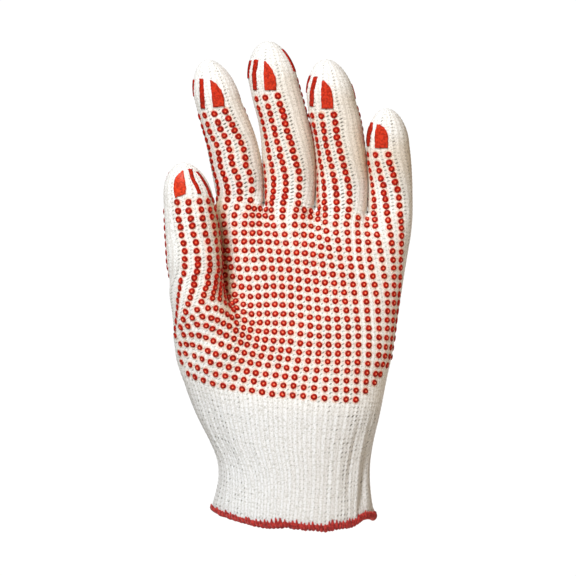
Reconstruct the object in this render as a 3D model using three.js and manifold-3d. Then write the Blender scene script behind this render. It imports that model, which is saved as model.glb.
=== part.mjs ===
// Knit work glove with a dotted grip print, for the left hand, in the form it takes when worn.
// Millimetres, +Z up. The fingers point up, the palm faces -Y, the thumb is on the -X side,
// and the origin is the centre of the wrist opening.

import * as THREE from 'three';
import { mergeVertices } from 'three/addons/utils/BufferGeometryUtils.js';
import Module from 'manifold-3d';

const wasm = await Module();
wasm.setup();

// Driving dimensions

const WALL = 2.0; // thickness of the knit
const GAP = 0.3; // clearance between pieces that touch
const CROTCH_Z = 158.2; // height of the finger crotches, at x = 0
const CROTCH_FALL = -0.115; // how the line of the crotches falls towards the little finger
const THUMB_CROTCH_Z = 111.5; // height where the thumb leaves the palm
const CUFF_TOP_Z = 58; // where the palm ends and the ribbed cuff begins
const RIBS = 58; // ribs round the cuff, one for each two wales of the knit
const RIB_HEIGHT = 0.7;
const CROTCHES = { x: [-15.5, 10, 36.3], width: 5, dip: 0.35, from: 139 }; // valleys between the knuckles
const THENAR = { x: -43, width: 15, rise: 9 }; // the ball of the thumb under the cloth
const FOLD = { x: 31, width: 5, depth: 1.6 }; // the upright fold at the right of the cuff
const HEM_HEIGHT = 3.6; // the overlocked edge
const HEM_THICKNESS = 3.4;
const PRINT_HEIGHT = 0.6; // how far the printed patches stand up

// The outline, one row for each height: its left and right edge, the depth from palm to back,
// the y of its middle, and how square it is (2 is an ellipse)

const HAND = [
  { z: 3, left: -41.5, right: 40, y: 0, depth: 53, square: 2.1 },
  { z: 9, left: -41.2, right: 38.8, y: 0, depth: 52, square: 2.1 },
  { z: 16.5, left: -39, right: 37.7, y: 0, depth: 50, square: 2.1 },
  { z: 24, left: -37.7, right: 37.2, y: 0, depth: 49, square: 2.1 },
  { z: 31.5, left: -38.5, right: 37.5, y: 0, depth: 48.5, square: 2.1 },
  { z: 41.5, left: -42.6, right: 39.2, y: 0, depth: 47.5, square: 2.15 },
  { z: 51.5, left: -47.8, right: 41.7, y: 0, depth: 46, square: 2.2 },
  { z: 61.5, left: -52.2, right: 43.7, y: 0, depth: 44.5, square: 2.25 },
  { z: 71.5, left: -55.7, right: 45.7, y: -0.5, depth: 43, square: 2.3 },
  { z: 81.5, left: -58.4, right: 48, y: -1, depth: 41.5, square: 2.3 },
  { z: 91.5, left: -58.4, right: 49.7, y: -1, depth: 40, square: 2.3 },
  { z: 101.5, left: -54.5, right: 51.2, y: -0.5, depth: 38, square: 2.3 },
  { z: 111.5, left: -49, right: 52.8, y: 0, depth: 36, square: 2.3 },
  { z: 121.5, left: -45, right: 54.3, y: 0, depth: 34, square: 2.35 },
  { z: 136.5, left: -41.9, right: 56.4, y: 0, depth: 31, square: 2.9 },
  { z: 148.5, left: -40.4, right: 58, y: 0, depth: 28, square: 3.6 },
  { z: CROTCH_Z, left: -39.3, right: 58.7, y: -0.4, depth: 25.6, square: 4.2 },
];

// The ball of the thumb, a second tube inside the outline of the hand
const THUMB_ROOT = [
  { z: 72, left: -52, right: -20, y: -2, depth: 18, square: 2 },
  { z: 81.5, left: -57.9, right: -18, y: -5.5, depth: 26, square: 2 },
  { z: 91.5, left: -60.4, right: -20, y: -9.5, depth: 30, square: 2 },
  { z: 101.5, left: -61.5, right: -27, y: -13.3, depth: 31, square: 2 },
  { z: 111.5, left: -62.7, right: -33.4, y: -16.3, depth: 29.5, square: 2 },
  { z: 121.5, left: -63.5, right: -35.3, y: -18.5, depth: 28, square: 2 },
];

// Each digit has its outline up to the start of its round tip, and the point of the tip

const DIGITS = {
  thumb: {
    tip: { z: 180, x: -55.5, y: -29 },
    sides: 20,
    sections: [
      ...THUMB_ROOT,
      { z: 131.5, left: -64.2, right: -36, y: -20.5, depth: 27, square: 2 },
      { z: 141.5, left: -64.7, right: -37, y: -22.5, depth: 26, square: 2 },
      { z: 151.5, left: -65.2, right: -38, y: -24.5, depth: 25, square: 2 },
      { z: 161, left: -65.5, right: -40.4, y: -26, depth: 23, square: 2 },
    ],
  },
  index_finger: {
    tip: { z: 231.5, x: -43.2, y: -15 },
    sides: 18,
    sections: [
      { z: 150, left: -39.3, right: -15.3, y: 0, depth: 23, square: 2.2 },
      { z: 161.5, left: -39.5, right: -15.65, y: -1, depth: 23, square: 2.1 },
      { z: 171.5, left: -41, right: -15.9, y: -2.5, depth: 23.5, square: 2 },
      { z: 181.5, left: -43, right: -17, y: -4.3, depth: 23, square: 2 },
      { z: 191.5, left: -45.1, right: -19.5, y: -6.3, depth: 22.5, square: 2 },
      { z: 201.5, left: -47.6, right: -23, y: -8.6, depth: 22, square: 2 },
      { z: 211.5, left: -50.2, right: -26.9, y: -11, depth: 21, square: 2 },
    ],
  },
  middle_finger: {
    tip: { z: 240.7, x: -13.6, y: -14 },
    sides: 18,
    sections: [
      { z: 150, left: -15, right: 9.85, y: 0, depth: 25, square: 2.2 },
      { z: 161.5, left: -15.35, right: 9.85, y: -0.5, depth: 25, square: 2.1 },
      { z: 171.5, left: -15.6, right: 10.4, y: -1.5, depth: 24.5, square: 2 },
      { z: 181.5, left: -16, right: 10.2, y: -2.8, depth: 24, square: 2 },
      { z: 191.5, left: -16.8, right: 8.85, y: -4.4, depth: 23.5, square: 2 },
      { z: 201.5, left: -18.6, right: 6.7, y: -6.2, depth: 23, square: 2 },
      { z: 211.5, left: -21.2, right: 4.2, y: -8.3, depth: 22.5, square: 2 },
      { z: 221, left: -23.4, right: 1.4, y: -10.5, depth: 21.5, square: 2 },
    ],
  },
  ring_finger: {
    tip: { z: 231.8, x: 15.5, y: -14 },
    sides: 18,
    sections: [
      { z: 150, left: 10.2, right: 36.1, y: 0, depth: 24.5, square: 2.2 },
      { z: 161.5, left: 10.25, right: 36.25, y: -0.5, depth: 24.5, square: 2.1 },
      { z: 171.5, left: 10.8, right: 36.4, y: -1.8, depth: 24, square: 2 },
      { z: 181.5, left: 10.6, right: 35.6, y: -3.4, depth: 23.5, square: 2 },
      { z: 191.5, left: 9.3, right: 34.5, y: -5.2, depth: 23, square: 2 },
      { z: 201.5, left: 7.3, right: 33, y: -7.2, depth: 22.5, square: 2 },
      { z: 211.5, left: 5.9, right: 30.2, y: -9.5, depth: 21.5, square: 2 },
    ],
  },
  little_finger: {
    tip: { z: 207.3, x: 45.7, y: -11 },
    sides: 16,
    sections: [
      { z: 150, left: 36.4, right: 58.4, y: 0, depth: 22, square: 2.2 },
      { z: 161.5, left: 36.6, right: 58.9, y: -0.5, depth: 21.5, square: 2.1 },
      { z: 171.5, left: 36.8, right: 58.9, y: -2, depth: 21, square: 2 },
      { z: 181.5, left: 36, right: 58.2, y: -4, depth: 20.5, square: 2 },
      { z: 189.5, left: 35.8, right: 57.2, y: -6, depth: 19.5, square: 2 },
    ],
  },
};

// The printed patches near each tip: degrees round the digit from straight ahead (positive to the
// right) and heights. A pad has one long edge that curves in towards its top.

const PRINT = {
  thumb: {
    pad: { from: -34, to: -2, bottom: 162.6, top: 175.6 },
    bar: { from: 24, to: 37, bottom: 164.5, top: 176 },
    edge_bar: { from: 55, to: 68, bottom: 162.5, top: 174 },
  },
  index_finger: {
    pad: { from: 17, to: -11, bottom: 207.5, top: 220.8 },
    bar: { from: -45, to: -31, bottom: 207, top: 221.8 },
    edge_bar: { from: -88, to: -75, bottom: 213, top: 221 },
  },
  middle_finger: {
    pad: { from: 5, to: -20, bottom: 216, top: 230.3 },
    bar: { from: -52, to: -38, bottom: 216.5, top: 231 },
    edge_bar: { from: -88, to: -75, bottom: 223.5, top: 231 },
  },
  ring_finger: {
    pad: { from: 5, to: -23, bottom: 207, top: 220.3 },
    bar: { from: -58, to: -44, bottom: 208, top: 222.5 },
    edge_bar: { from: -88, to: -75, bottom: 216, top: 223.3 },
  },
  little_finger: {
    pad: { from: -2, to: -36, bottom: 186.6, top: 198.8 },
    bar: { from: -72, to: -57, bottom: 188, top: 199.6 },
    edge_bar: { from: -106, to: -92, bottom: 190, top: 198 },
  },
};

// Reading a table of sections

const { lerp, clamp, smoothstep, degToRad } = THREE.MathUtils;

// The value of one column at a height, on a smooth curve through the rows
function along(rows, column, z) {
  const last = rows.length - 1;
  if (z <= rows[0].z) return rows[0][column];
  if (z >= rows[last].z) return rows[last][column];
  const i = rows.findIndex((row) => row.z > z) - 1;
  const slope = (k) => {
    const a = rows[Math.max(k - 1, 0)];
    const b = rows[Math.min(k + 1, last)];
    return (b[column] - a[column]) / (b.z - a.z);
  };
  const span = rows[i + 1].z - rows[i].z;
  const t = (z - rows[i].z) / span;
  const rise = rows[i + 1][column] - rows[i][column];
  const ease = t * t * (3 - 2 * t);
  const bend = t * (1 - t) * ((1 - t) * slope(i) - t * slope(i + 1)) * span;
  return rows[i][column] + rise * ease + bend;
}

function sectionAt(rows, z) {
  const section = { z };
  for (const column of ['left', 'right', 'y', 'depth', 'square']) {
    section[column] = along(rows, column, z);
  }
  return section;
}

// Above its last row a digit closes in a dome
const DOME_POWER = 1.9;

function digitSection(digit, z) {
  const base = digit.sections.at(-1);
  if (z <= base.z) return sectionAt(digit.sections, z);
  const t = Math.min((z - base.z) / (digit.tip.z - base.z), 1);
  const width = (1 - t ** DOME_POWER) ** (1 / DOME_POWER);
  const middle = lerp((base.left + base.right) / 2, digit.tip.x, t);
  const half = ((base.right - base.left) / 2) * width;
  return {
    z,
    left: middle - half,
    right: middle + half,
    y: lerp(base.y, digit.tip.y, t),
    depth: base.depth * width,
    square: 2,
  };
}

// A point of a section. The angle runs from the left over the palm side to the right and the back.
function pointOn(section, angle, inset = 0) {
  const across = Math.cos(angle);
  const forward = (1 - Math.abs(across) ** section.square) ** (1 / section.square);
  const halfWidth = Math.max((section.right - section.left) / 2 - inset, 0);
  const halfDepth = Math.max(section.depth / 2 - inset, 0);
  return new THREE.Vector3(
    (section.left + section.right) / 2 - halfWidth * across,
    section.y - halfDepth * forward * Math.sign(Math.sin(angle)),
    section.z,
  );
}

// Closed tubes and solids

// A tube with closed ends: a sphere whose vertices are moved, ring by ring, to place(ring, angle).
// Its two poles go to the ends, or to the middle of the first and last rings.
function closedTube({ rings, sides, place, top }) {
  const geometry = new THREE.SphereGeometry(1, sides, rings + 1);
  const position = geometry.getAttribute('position');
  const uv = geometry.getAttribute('uv');
  const angleOf = (side) => (side / sides) * Math.PI * 2;
  const middleOf = (ring) => {
    const middle = new THREE.Vector3();
    for (let side = 0; side < sides; side++) middle.add(place(ring, angleOf(side)));
    return middle.divideScalar(sides);
  };
  const ends = { bottom: middleOf(0), top: top ?? middleOf(rings - 1) };
  for (let i = 0; i < position.count; i++) {
    const row = Math.round(uv.getY(i) * (rings + 1));
    const side = Math.round(uv.getX(i) * sides) % sides;
    let point;
    if (row === 0) point = ends.bottom;
    else if (row === rings + 1) point = ends.top;
    else point = place(row - 1, angleOf(side));
    position.setXYZ(i, point.x, point.y, point.z);
  }
  return geometry;
}

// Joining and cutting

function solidOf(geometry) {
  geometry.deleteAttribute('normal');
  geometry.deleteAttribute('uv');
  const merged = mergeVertices(geometry, 1e-4);
  return new wasm.Manifold(
    new wasm.Mesh({
      numProp: 3,
      vertProperties: new Float32Array(merged.getAttribute('position').array),
      triVerts: new Uint32Array(merged.getIndex().array),
    }),
  );
}

// A cut along a nearly flush wall can leave slivers, so a piece is its largest body, and vertices
// closer than this are joined
const WELD = 2e-3;

function geometryOf(solid) {
  const bodies = solid.decompose().sort((a, b) => b.volume() - a.volume());
  const mesh = bodies[0].getMesh();
  const loose = new THREE.BufferGeometry();
  loose.setAttribute('position', new THREE.BufferAttribute(mesh.vertProperties, 3));
  loose.setIndex(new THREE.BufferAttribute(mesh.triVerts, 1));
  const geometry = mergeVertices(loose, WELD);
  const index = geometry.getIndex();
  const corners = [];
  for (let i = 0; i < index.count; i += 3) {
    const triangle = [index.getX(i), index.getX(i + 1), index.getX(i + 2)];
    if (new Set(triangle).size === 3) corners.push(...triangle);
  }
  geometry.setIndex(corners);
  geometry.computeVertexNormals();
  return geometry;
}

// Everything above a plane through (0, 0, z) that falls towards +X by the given slope
const ROOM = 600;

function spaceAbove(z, slope = 0) {
  const box = new THREE.BoxGeometry(ROOM, ROOM, ROOM);
  box.translate(0, 0, ROOM / 2);
  box.rotateY(-Math.atan(slope));
  box.translate(0, 0, z);
  return solidOf(box);
}

// Palm and back

const TILT_START_Z = 125;
const hump = (distance, width) => Math.exp(-((distance / width) ** 2));

// The hand's section, raised over the ball of the thumb and dipping between the knuckles. Its rings
// turn gradually from level to the slope of the crotches.
function handPoint(z, angle, inset) {
  const section = sectionAt(HAND, z);
  const point = pointOn(section, angle, inset);
  const bulge = THENAR.rise * smoothstep(z, CUFF_TOP_Z, 90) * (1 - smoothstep(z, 100, 118));
  const front = Math.sqrt(Math.max(Math.sin(angle), 0));
  point.y -= bulge * hump(point.x - THENAR.x, THENAR.width) * front;
  let dip = 0;
  for (const x of CROTCHES.x) dip = Math.max(dip, hump(point.x - x, CROTCHES.width));
  dip *= CROTCHES.dip * smoothstep(z, CROTCHES.from, CROTCH_Z);
  const out = point.y - section.y;
  point.y = section.y + out * (1 - dip) - Math.sign(out) * inset * dip;
  point.z += CROTCH_FALL * smoothstep(z, TILT_START_Z, CROTCH_Z) * point.x;
  return point;
}

function handTube({ from, to, inset, rings, sides }) {
  const level = (ring) => lerp(from, to, ring / (rings - 1));
  const place = (ring, angle) => handPoint(level(ring), angle, inset);
  return solidOf(closedTube({ rings, sides, place }));
}

// Digits

const DOME_STEPS = [0.28, 0.52, 0.72, 0.88];
const RING_STEP = 11.5;

// A digit's tube, shrunk by inset all over, or grown where inset is negative
function digitTube(digit, { inset, sides }) {
  const start = digit.sections[0].z;
  const base = digit.sections.at(-1).z;
  const straight = Math.round((base - start) / RING_STEP);
  const levels = [];
  for (let i = 0; i <= straight; i++) levels.push(lerp(start, base, i / straight));
  for (const t of DOME_STEPS) levels.push(lerp(base, digit.tip.z, t));
  const place = (ring, angle) => {
    const point = pointOn(digitSection(digit, levels[ring]), angle, inset);
    const rise = clamp((levels[ring] - base) / (digit.tip.z - base), 0, 1);
    point.z -= inset * rise;
    return point;
  };
  const top = new THREE.Vector3(digit.tip.x, digit.tip.y, digit.tip.z - inset);
  return solidOf(closedTube({ rings: levels.length, sides, place, top }));
}

// Cuff and hem

// Height of the upper edge of the hem, which hangs lowest over the heel of the hand
function hemTop(angle) {
  const front = Math.max(Math.sin(angle), 0);
  return 7.1 + 1.5 * Math.cos(angle) - 6.9 * front ** 1.4 + 0.3 * Math.sin(5 * angle + 1);
}

const CUFF_RINGS = 6;
const CUFF_SIDES = 2 * RIBS;
const CUFF_NOMINAL_Z = 4;

// A point of the cuff at the share of its height above the hem
function cuffPoint(share, angle, inset) {
  const nominal = lerp(CUFF_NOMINAL_Z, CUFF_TOP_Z, share);
  const section = sectionAt(HAND, nominal);
  const smooth = pointOn(section, angle);
  const near = hump(smooth.x - FOLD.x, FOLD.width) * clamp(Math.sin(Math.PI * share), 0, 1);
  const foldIn = Math.sin(angle) > 0 ? FOLD.depth * near : 0;
  const point = pointOn(section, angle, inset + foldIn);
  point.z = lerp(hemTop(angle), CUFF_TOP_Z - GAP / 2, share);
  return point;
}

function cuffSolid() {
  const outer = (ring, angle) => {
    const share = ring / (CUFF_RINGS - 1);
    const side = Math.round((angle / (Math.PI * 2)) * CUFF_SIDES);
    const fade = 1 - smoothstep(share, 0.8, 1);
    return cuffPoint(share, angle, side % 2 ? RIB_HEIGHT * fade : 0);
  };
  const overrun = 0.15;
  const inner = (ring, angle) => {
    const share = lerp(-overrun, 1 + overrun, ring / CUFF_RINGS);
    return cuffPoint(share, angle, WALL + (share < 0.9 ? RIB_HEIGHT / 2 : 0));
  };
  const outside = solidOf(closedTube({ rings: CUFF_RINGS, sides: CUFF_SIDES, place: outer }));
  const inside = solidOf(closedTube({ rings: CUFF_RINGS + 1, sides: RIBS, place: inner }));
  return outside.subtract(inside);
}

// The overlocked edge is a closed ring under the edge of the cuff
function hemGeometry() {
  const around = 64;
  const across = 6;
  const geometry = new THREE.TorusGeometry(1, 0.3, across, around);
  const position = geometry.getAttribute('position');
  const uv = geometry.getAttribute('uv');
  for (let i = 0; i < position.count; i++) {
    const angle = ((Math.round(uv.getX(i) * around) % around) / around) * Math.PI * 2;
    const turn = ((Math.round(uv.getY(i) * across) % across) / across) * Math.PI * 2;
    const inset = WALL / 2 - (HEM_THICKNESS / 2) * Math.cos(turn);
    const point = pointOn(sectionAt(HAND, HAND[0].z), angle, inset);
    const middle = hemTop(angle) - GAP - HEM_HEIGHT / 2;
    position.setXYZ(i, point.x, point.y, middle + (HEM_HEIGHT / 2) * Math.sin(turn));
  }
  geometry.deleteAttribute('normal');
  geometry.deleteAttribute('uv');
  return mergeVertices(geometry, 1e-4);
}

// Printed patches

// A point at a height above the skin of a digit, along the way the skin faces
function aboveSkin(digit, degrees, z, height) {
  const nudge = 0.05;
  const at = (angle, level) => pointOn(digitSection(digit, level), angle);
  const angle = degToRad(90 + degrees);
  const sideways = at(angle + nudge, z).sub(at(angle - nudge, z));
  const upwards = at(angle, z + nudge).sub(at(angle, z - nudge));
  const facing = sideways.cross(upwards).normalize();
  return at(angle, z).addScaledVector(facing, height);
}

const CURVE_START = 0.35;
const PAD_POINT = 0.14;

// How wide a pad is at a share of its height: full width, then a rounded shoulder up to its point
function padWidth(share) {
  const t = clamp((share - CURVE_START) / (1 - CURVE_START), 0, 1);
  return PAD_POINT + (1 - PAD_POINT) * Math.sqrt(1 - t * t);
}

// A patch is a thin box laid on the skin. from is its curved edge where it is a pad.
function patchGeometry(digit, { from, to, bottom, top }, curved, turned) {
  const columns = curved ? 2 : 1;
  const rows = curved ? 5 : 2;
  const geometry = new THREE.BoxGeometry(1, 1, 1, columns, rows, 1);
  const position = geometry.getAttribute('position');
  const left = Math.min(from, to);
  const right = Math.max(from, to);
  for (let i = 0; i < position.count; i++) {
    const share = position.getY(i) + 0.5;
    const width = curved ? padWidth(share) : 1;
    const across = (position.getX(i) + 0.5) * width;
    const degrees = from > to ? left + (right - left) * across : right - (right - left) * (width - across);
    const height = GAP + (position.getZ(i) + 0.5) * PRINT_HEIGHT;
    const z = lerp(bottom, top, share);
    const point = aboveSkin(digit, degrees + (turned ? 180 : 0), z, height);
    position.setXYZ(i, point.x, point.y, point.z);
  }
  geometry.deleteAttribute('normal');
  geometry.deleteAttribute('uv');
  return mergeVertices(geometry, 1e-4);
}

// Materials

const cotton = () => new THREE.MeshStandardMaterial({ color: 0xf1eee8, roughness: 0.9, metalness: 0 });
const thread = () => new THREE.MeshStandardMaterial({ color: 0xa81c22, roughness: 0.8, metalness: 0 });
const print = () => new THREE.MeshStandardMaterial({ color: 0xd2321c, roughness: 0.35, metalness: 0 });

function named(name, geometry, material) {
  const mesh = new THREE.Mesh(geometry, material);
  mesh.name = name;
  return mesh;
}

// Putting the glove together

const HAND_SIDES = 48;
const INNER_SIDES = 14;
const digitSolids = {};
const digitHollows = {};
for (const [name, digit] of Object.entries(DIGITS)) {
  digitSolids[name] = digitTube(digit, { inset: 0, sides: digit.sides });
  digitHollows[name] = digitTube(digit, { inset: WALL, sides: INNER_SIDES });
}

// Where the thumb lies against the palm, both keep their own wall
const besideThumb = (clearance, from) =>
  digitTube(DIGITS.thumb, { inset: -clearance, sides: DIGITS.thumb.sides }).intersect(spaceAbove(from));

const SPARE = 4; // a tube runs this far past the plane that trims it
const WEB = 2.6; // thickness of the cloth between two fingers
const handOuter = handTube({
  from: CUFF_TOP_Z - SPARE,
  to: CROTCH_Z + SPARE,
  inset: 0,
  rings: 10,
  sides: HAND_SIDES,
})
  .intersect(spaceAbove(CUFF_TOP_Z + GAP / 2))
  .subtract(spaceAbove(CROTCH_Z, CROTCH_FALL));
const handInner = handTube({
  from: CUFF_TOP_Z - SPARE,
  to: CROTCH_Z - WEB,
  inset: WALL,
  rings: 10,
  sides: HAND_SIDES,
});

let hollow = handInner.subtract(besideThumb(GAP + WALL, THUMB_CROTCH_Z - WALL));
for (const inside of Object.values(digitHollows)) hollow = hollow.add(inside);

const fingerSide = spaceAbove(CROTCH_Z + GAP, CROTCH_FALL);
const aboveThumbSeam = spaceAbove(THUMB_CROTCH_Z);
const thumbSide = spaceAbove(THUMB_CROTCH_Z + GAP);

const thumbRoot = digitSolids.thumb.subtract(aboveThumbSeam);
const palm = handOuter.subtract(besideThumb(GAP, THUMB_CROTCH_Z)).add(thumbRoot).subtract(hollow);
const glove = new THREE.Group();
for (const [name, digit] of Object.entries(DIGITS)) {
  const isThumb = name === 'thumb';
  const group = new THREE.Group();
  const upper = digitSolids[name].intersect(isThumb ? thumbSide : fingerSide).subtract(digitHollows[name]);
  group.add(named(name, geometryOf(upper), cotton()));
  const short = name.replace('_finger', '');
  for (const [shape, patch] of Object.entries(PRINT[name])) {
    for (const side of ['', 'back_']) {
      const geometry = patchGeometry(digit, patch, shape === 'pad', side !== '');
      group.add(named(`${short}_${side}${shape}`, geometry, print()));
    }
  }
  glove.add(group);
}
glove.add(named('palm', geometryOf(palm), cotton()));
glove.add(named('rib_cuff', geometryOf(cuffSolid()), cotton()));
glove.add(named('hem_binding', hemGeometry(), thread()));

export default glove;
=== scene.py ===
# %% [markdown]
# # A dotted knit work glove
# The glove is one seamless knit: five tubes that run down into the palm, a ribbed cuff, and a hem of
# overlocked thread. A red vinyl print gives it grip: rows of dots and a few bars at the fingertips.
# The solids of the frame give its size. Here the knit gets its stitches, and the print its dots.

# %% Load the frame
import math
import random

import bmesh
import bpy
import numpy as np
from mathutils import Matrix, Vector
from mathutils.kdtree import KDTree


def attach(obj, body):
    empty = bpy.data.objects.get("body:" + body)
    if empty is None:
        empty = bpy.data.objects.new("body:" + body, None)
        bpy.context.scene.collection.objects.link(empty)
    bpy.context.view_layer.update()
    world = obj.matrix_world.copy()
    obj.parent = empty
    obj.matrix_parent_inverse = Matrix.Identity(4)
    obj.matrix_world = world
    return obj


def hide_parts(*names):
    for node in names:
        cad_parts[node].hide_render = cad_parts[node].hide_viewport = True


MM = 0.001
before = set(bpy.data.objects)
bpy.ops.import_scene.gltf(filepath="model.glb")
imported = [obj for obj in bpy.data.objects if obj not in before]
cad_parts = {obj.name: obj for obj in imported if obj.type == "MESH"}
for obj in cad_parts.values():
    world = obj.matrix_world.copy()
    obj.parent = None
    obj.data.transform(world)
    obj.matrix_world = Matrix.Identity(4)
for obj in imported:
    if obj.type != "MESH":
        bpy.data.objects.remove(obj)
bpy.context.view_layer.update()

# %% [markdown]
# ## The form under the cloth
# A worn glove has the form of the hand. Each tube is a stack of oval sections: height, left edge,
# right edge, the y of its middle, its depth, and how square it is. A smooth curve runs through the
# rows. These are the sections of the solids, so the cloth lies exactly where the frame says.

# %% Sections of the hand and of each digit, in millimetres
HAND = [
    (3, -41.5, 40, 0, 53, 2.1), (9, -41.2, 38.8, 0, 52, 2.1), (16.5, -39, 37.7, 0, 50, 2.1),
    (24, -37.7, 37.2, 0, 49, 2.1), (31.5, -38.5, 37.5, 0, 48.5, 2.1),
    (41.5, -42.6, 39.2, 0, 47.5, 2.15),
    (51.5, -47.8, 41.7, 0, 46, 2.2), (61.5, -52.2, 43.7, 0, 44.5, 2.25),
    (71.5, -55.7, 45.7, -0.5, 43, 2.3), (81.5, -58.4, 48, -1, 41.5, 2.3),
    (91.5, -58.4, 49.7, -1, 40, 2.3), (101.5, -54.5, 51.2, -0.5, 38, 2.3),
    (111.5, -46, 52.8, 0, 36, 2.3), (121.5, -43.2, 54.3, 0, 34, 2.35),
    (136.5, -41.9, 56.4, 0, 31, 2.9), (148.5, -40.4, 58, 0, 28, 3.6),
    (158.2, -39.3, 58.7, -0.4, 25.6, 4.2),
]
DIGITS = {
    "thumb": [
        (72, -52, -20, -2, 18), (81.5, -57.9, -18, -5.5, 26), (91.5, -60.4, -20, -9.5, 30),
        (101.5, -61.5, -27, -13.3, 31), (111.5, -62.7, -33.4, -16.3, 29.5),
        (121.5, -63.5, -35.3, -18.5, 28), (131.5, -64.2, -36, -20.5, 27),
        (141.5, -64.7, -37, -22.5, 26), (151.5, -65.2, -38, -24.5, 25), (161, -65.5, -40.4, -26, 23),
    ],
    "index": [
        (150, -39.3, -15.3, 0, 23), (161.5, -39.5, -15.65, -1, 23), (171.5, -41, -15.9, -2.5, 23.5),
        (181.5, -43, -17, -4.3, 23), (191.5, -45.1, -19.5, -6.3, 22.5),
        (201.5, -47.6, -23, -8.6, 22), (211.5, -50.2, -26.9, -11, 21),
    ],
    "middle": [
        (150, -15, 9.85, 0, 25), (161.5, -15.35, 9.85, -0.5, 25), (171.5, -15.6, 10.4, -1.5, 24.5),
        (181.5, -16, 10.2, -2.8, 24), (191.5, -16.8, 8.85, -4.4, 23.5),
        (201.5, -18.6, 6.7, -6.2, 23), (211.5, -21.2, 4.2, -8.3, 22.5), (221, -23.4, 1.4, -10.5, 21.5),
    ],
    "ring": [
        (150, 10.2, 36.1, 0, 24.5), (161.5, 10.25, 36.25, -0.5, 24.5), (171.5, 10.8, 36.4, -1.8, 24),
        (181.5, 10.6, 35.6, -3.4, 23.5), (191.5, 9.3, 34.5, -5.2, 23),
        (201.5, 7.3, 33, -7.2, 22.5), (211.5, 5.9, 30.2, -9.5, 21.5),
    ],
    "little": [
        (150, 36.4, 58.4, 0, 22), (161.5, 36.6, 58.9, -0.5, 21.5), (171.5, 36.8, 58.9, -2, 21),
        (181.5, 36, 58.2, -4, 20.5), (189.5, 35.8, 57.2, -6, 19.5),
    ],
}
TIPS = {  # x, y, z of each tip
    "thumb": (-55.5, -29, 180), "index": (-43.2, -15, 231.5), "middle": (-13.6, -14, 240.7),
    "ring": (15.5, -14, 231.8), "little": (45.7, -11, 207.3),
}
DOME_POWER = 1.9  # 2 would be a half ellipse; a little less is more pointed
print("sections", {name: len(rows) for name, rows in DIGITS.items()}, "hand", len(HAND))

# %% A smooth curve through the sections
def smoothstep(value, low, high):
    t = np.clip((value - low) / (high - low), 0, 1)
    return t * t * (3 - 2 * t)


def smooth_table(rows):
    """The rows as an array and the slopes of a smooth curve through them."""
    table = np.array(rows, float)
    slopes = np.gradient(table, table[:, 0], axis=0)
    slopes[1:-1] = (table[2:] - table[:-2]) / (table[2:, :1] - table[:-2, :1])
    return table, slopes


def along(smooth, z, columns):
    """Columns of a smooth table at heights z: a cubic curve between each pair of rows."""
    table, slopes = smooth
    z = np.clip(z, table[0, 0], table[-1, 0])
    i = np.clip(np.searchsorted(table[:, 0], z, side="right") - 1, 0, len(table) - 2)
    span = table[i + 1, 0] - table[i, 0]
    t = (z - table[i, 0]) / span
    found = []
    for c in columns:
        rise = table[i + 1, c] - table[i, c]
        low_end, high_end = slopes[i, c] * span - rise, slopes[i + 1, c] * span - rise
        bend = t * (1 - t) * ((1 - t) * low_end - t * high_end)
        found.append(table[i, c] + rise * t + bend)
    return found


SMOOTH = {name: smooth_table(rows) for name, rows in DIGITS.items()}
SMOOTH_HAND = smooth_table(HAND)


def digit_section(name, z):
    """Middle x, middle y, half width and half depth of a digit at heights z, with its domed tip."""
    tip_x, tip_y, tip_z = TIPS[name]
    base_z = DIGITS[name][-1][0]
    left, right, y, depth = along(SMOOTH[name], z, (1, 2, 3, 4))
    t = np.clip((z - base_z) / (tip_z - base_z), 0, 1)
    shrink = (1 - t**DOME_POWER) ** (1 / DOME_POWER)
    middle = (left + right) / 2 * (1 - t) + tip_x * t
    return middle, y * (1 - t) + tip_y * t, (right - left) / 2 * shrink, depth / 2 * shrink


print("index finger half way up", [round(float(v), 1) for v in digit_section("index", 190.0)])

# %% [markdown]
# ## Front and back of the palm
# Between the fingers and the cuff the cloth has a palm side and a back. Both are worked out as a y for
# each x and z: the oval of the hand, a swelling over the ball of the thumb, shallow dips below the
# crotches of the fingers, and the root of the thumb, joined to the hand by a soft crease.

# %% The palm side and the back as depths
CROTCH_Z = 158.2  # height of the crotches of the fingers
CROTCH_FALL = -0.115  # how much lower the crotches get for each millimetre to the right
CROTCH_X = (-15.5, 10.0, 36.3)
DIP, DIP_WIDE = 0.35, 5  # share of the depth lost below a crotch, and how wide the dip is
SWELL, SWELL_X, SWELL_WIDE = 9, -43, 15  # the ball of the thumb
CREASE = 2.4  # how soft the crease beside the thumb is
THUMB_LOW = 72  # the thumb's root starts to swell here
ROOT_CENTRE = [(60, -36, -2), (81.5, -37, -5), (91.5, -39, -8), (101.5, -41, -9), (111.5, -40.5, -8),
               (118, -40.3, -7.3)]  # z, x, y inside both the hand and the thumb's root


def hump(value, middle, wide):
    """A bell curve of height 1."""
    return np.exp(-(((value - middle) / wide) ** 2))


def hand_sides(x, z):
    """The y of the palm side and of the back at x, z."""
    level = z - CROTCH_FALL * smoothstep(z, 125, CROTCH_Z) * x
    left, right, y, depth, square = along(SMOOTH_HAND, level, (1, 2, 3, 4, 5))
    across = np.clip((x - (left + right) / 2) / ((right - left) / 2), -1, 1)
    out = depth / 2 * (1 - np.abs(across) ** square) ** (1 / square)
    dip = sum(hump(x, c, DIP_WIDE) for c in CROTCH_X)
    out = out * (1 - DIP * dip * smoothstep(level, 139, CROTCH_Z))
    swell = SWELL * smoothstep(z, 58, 90) * (1 - smoothstep(z, 100, 118))
    swell = swell * hump(x, SWELL_X, SWELL_WIDE) * (1 - across**2) ** 0.25
    return y - out - swell, y + out


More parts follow.
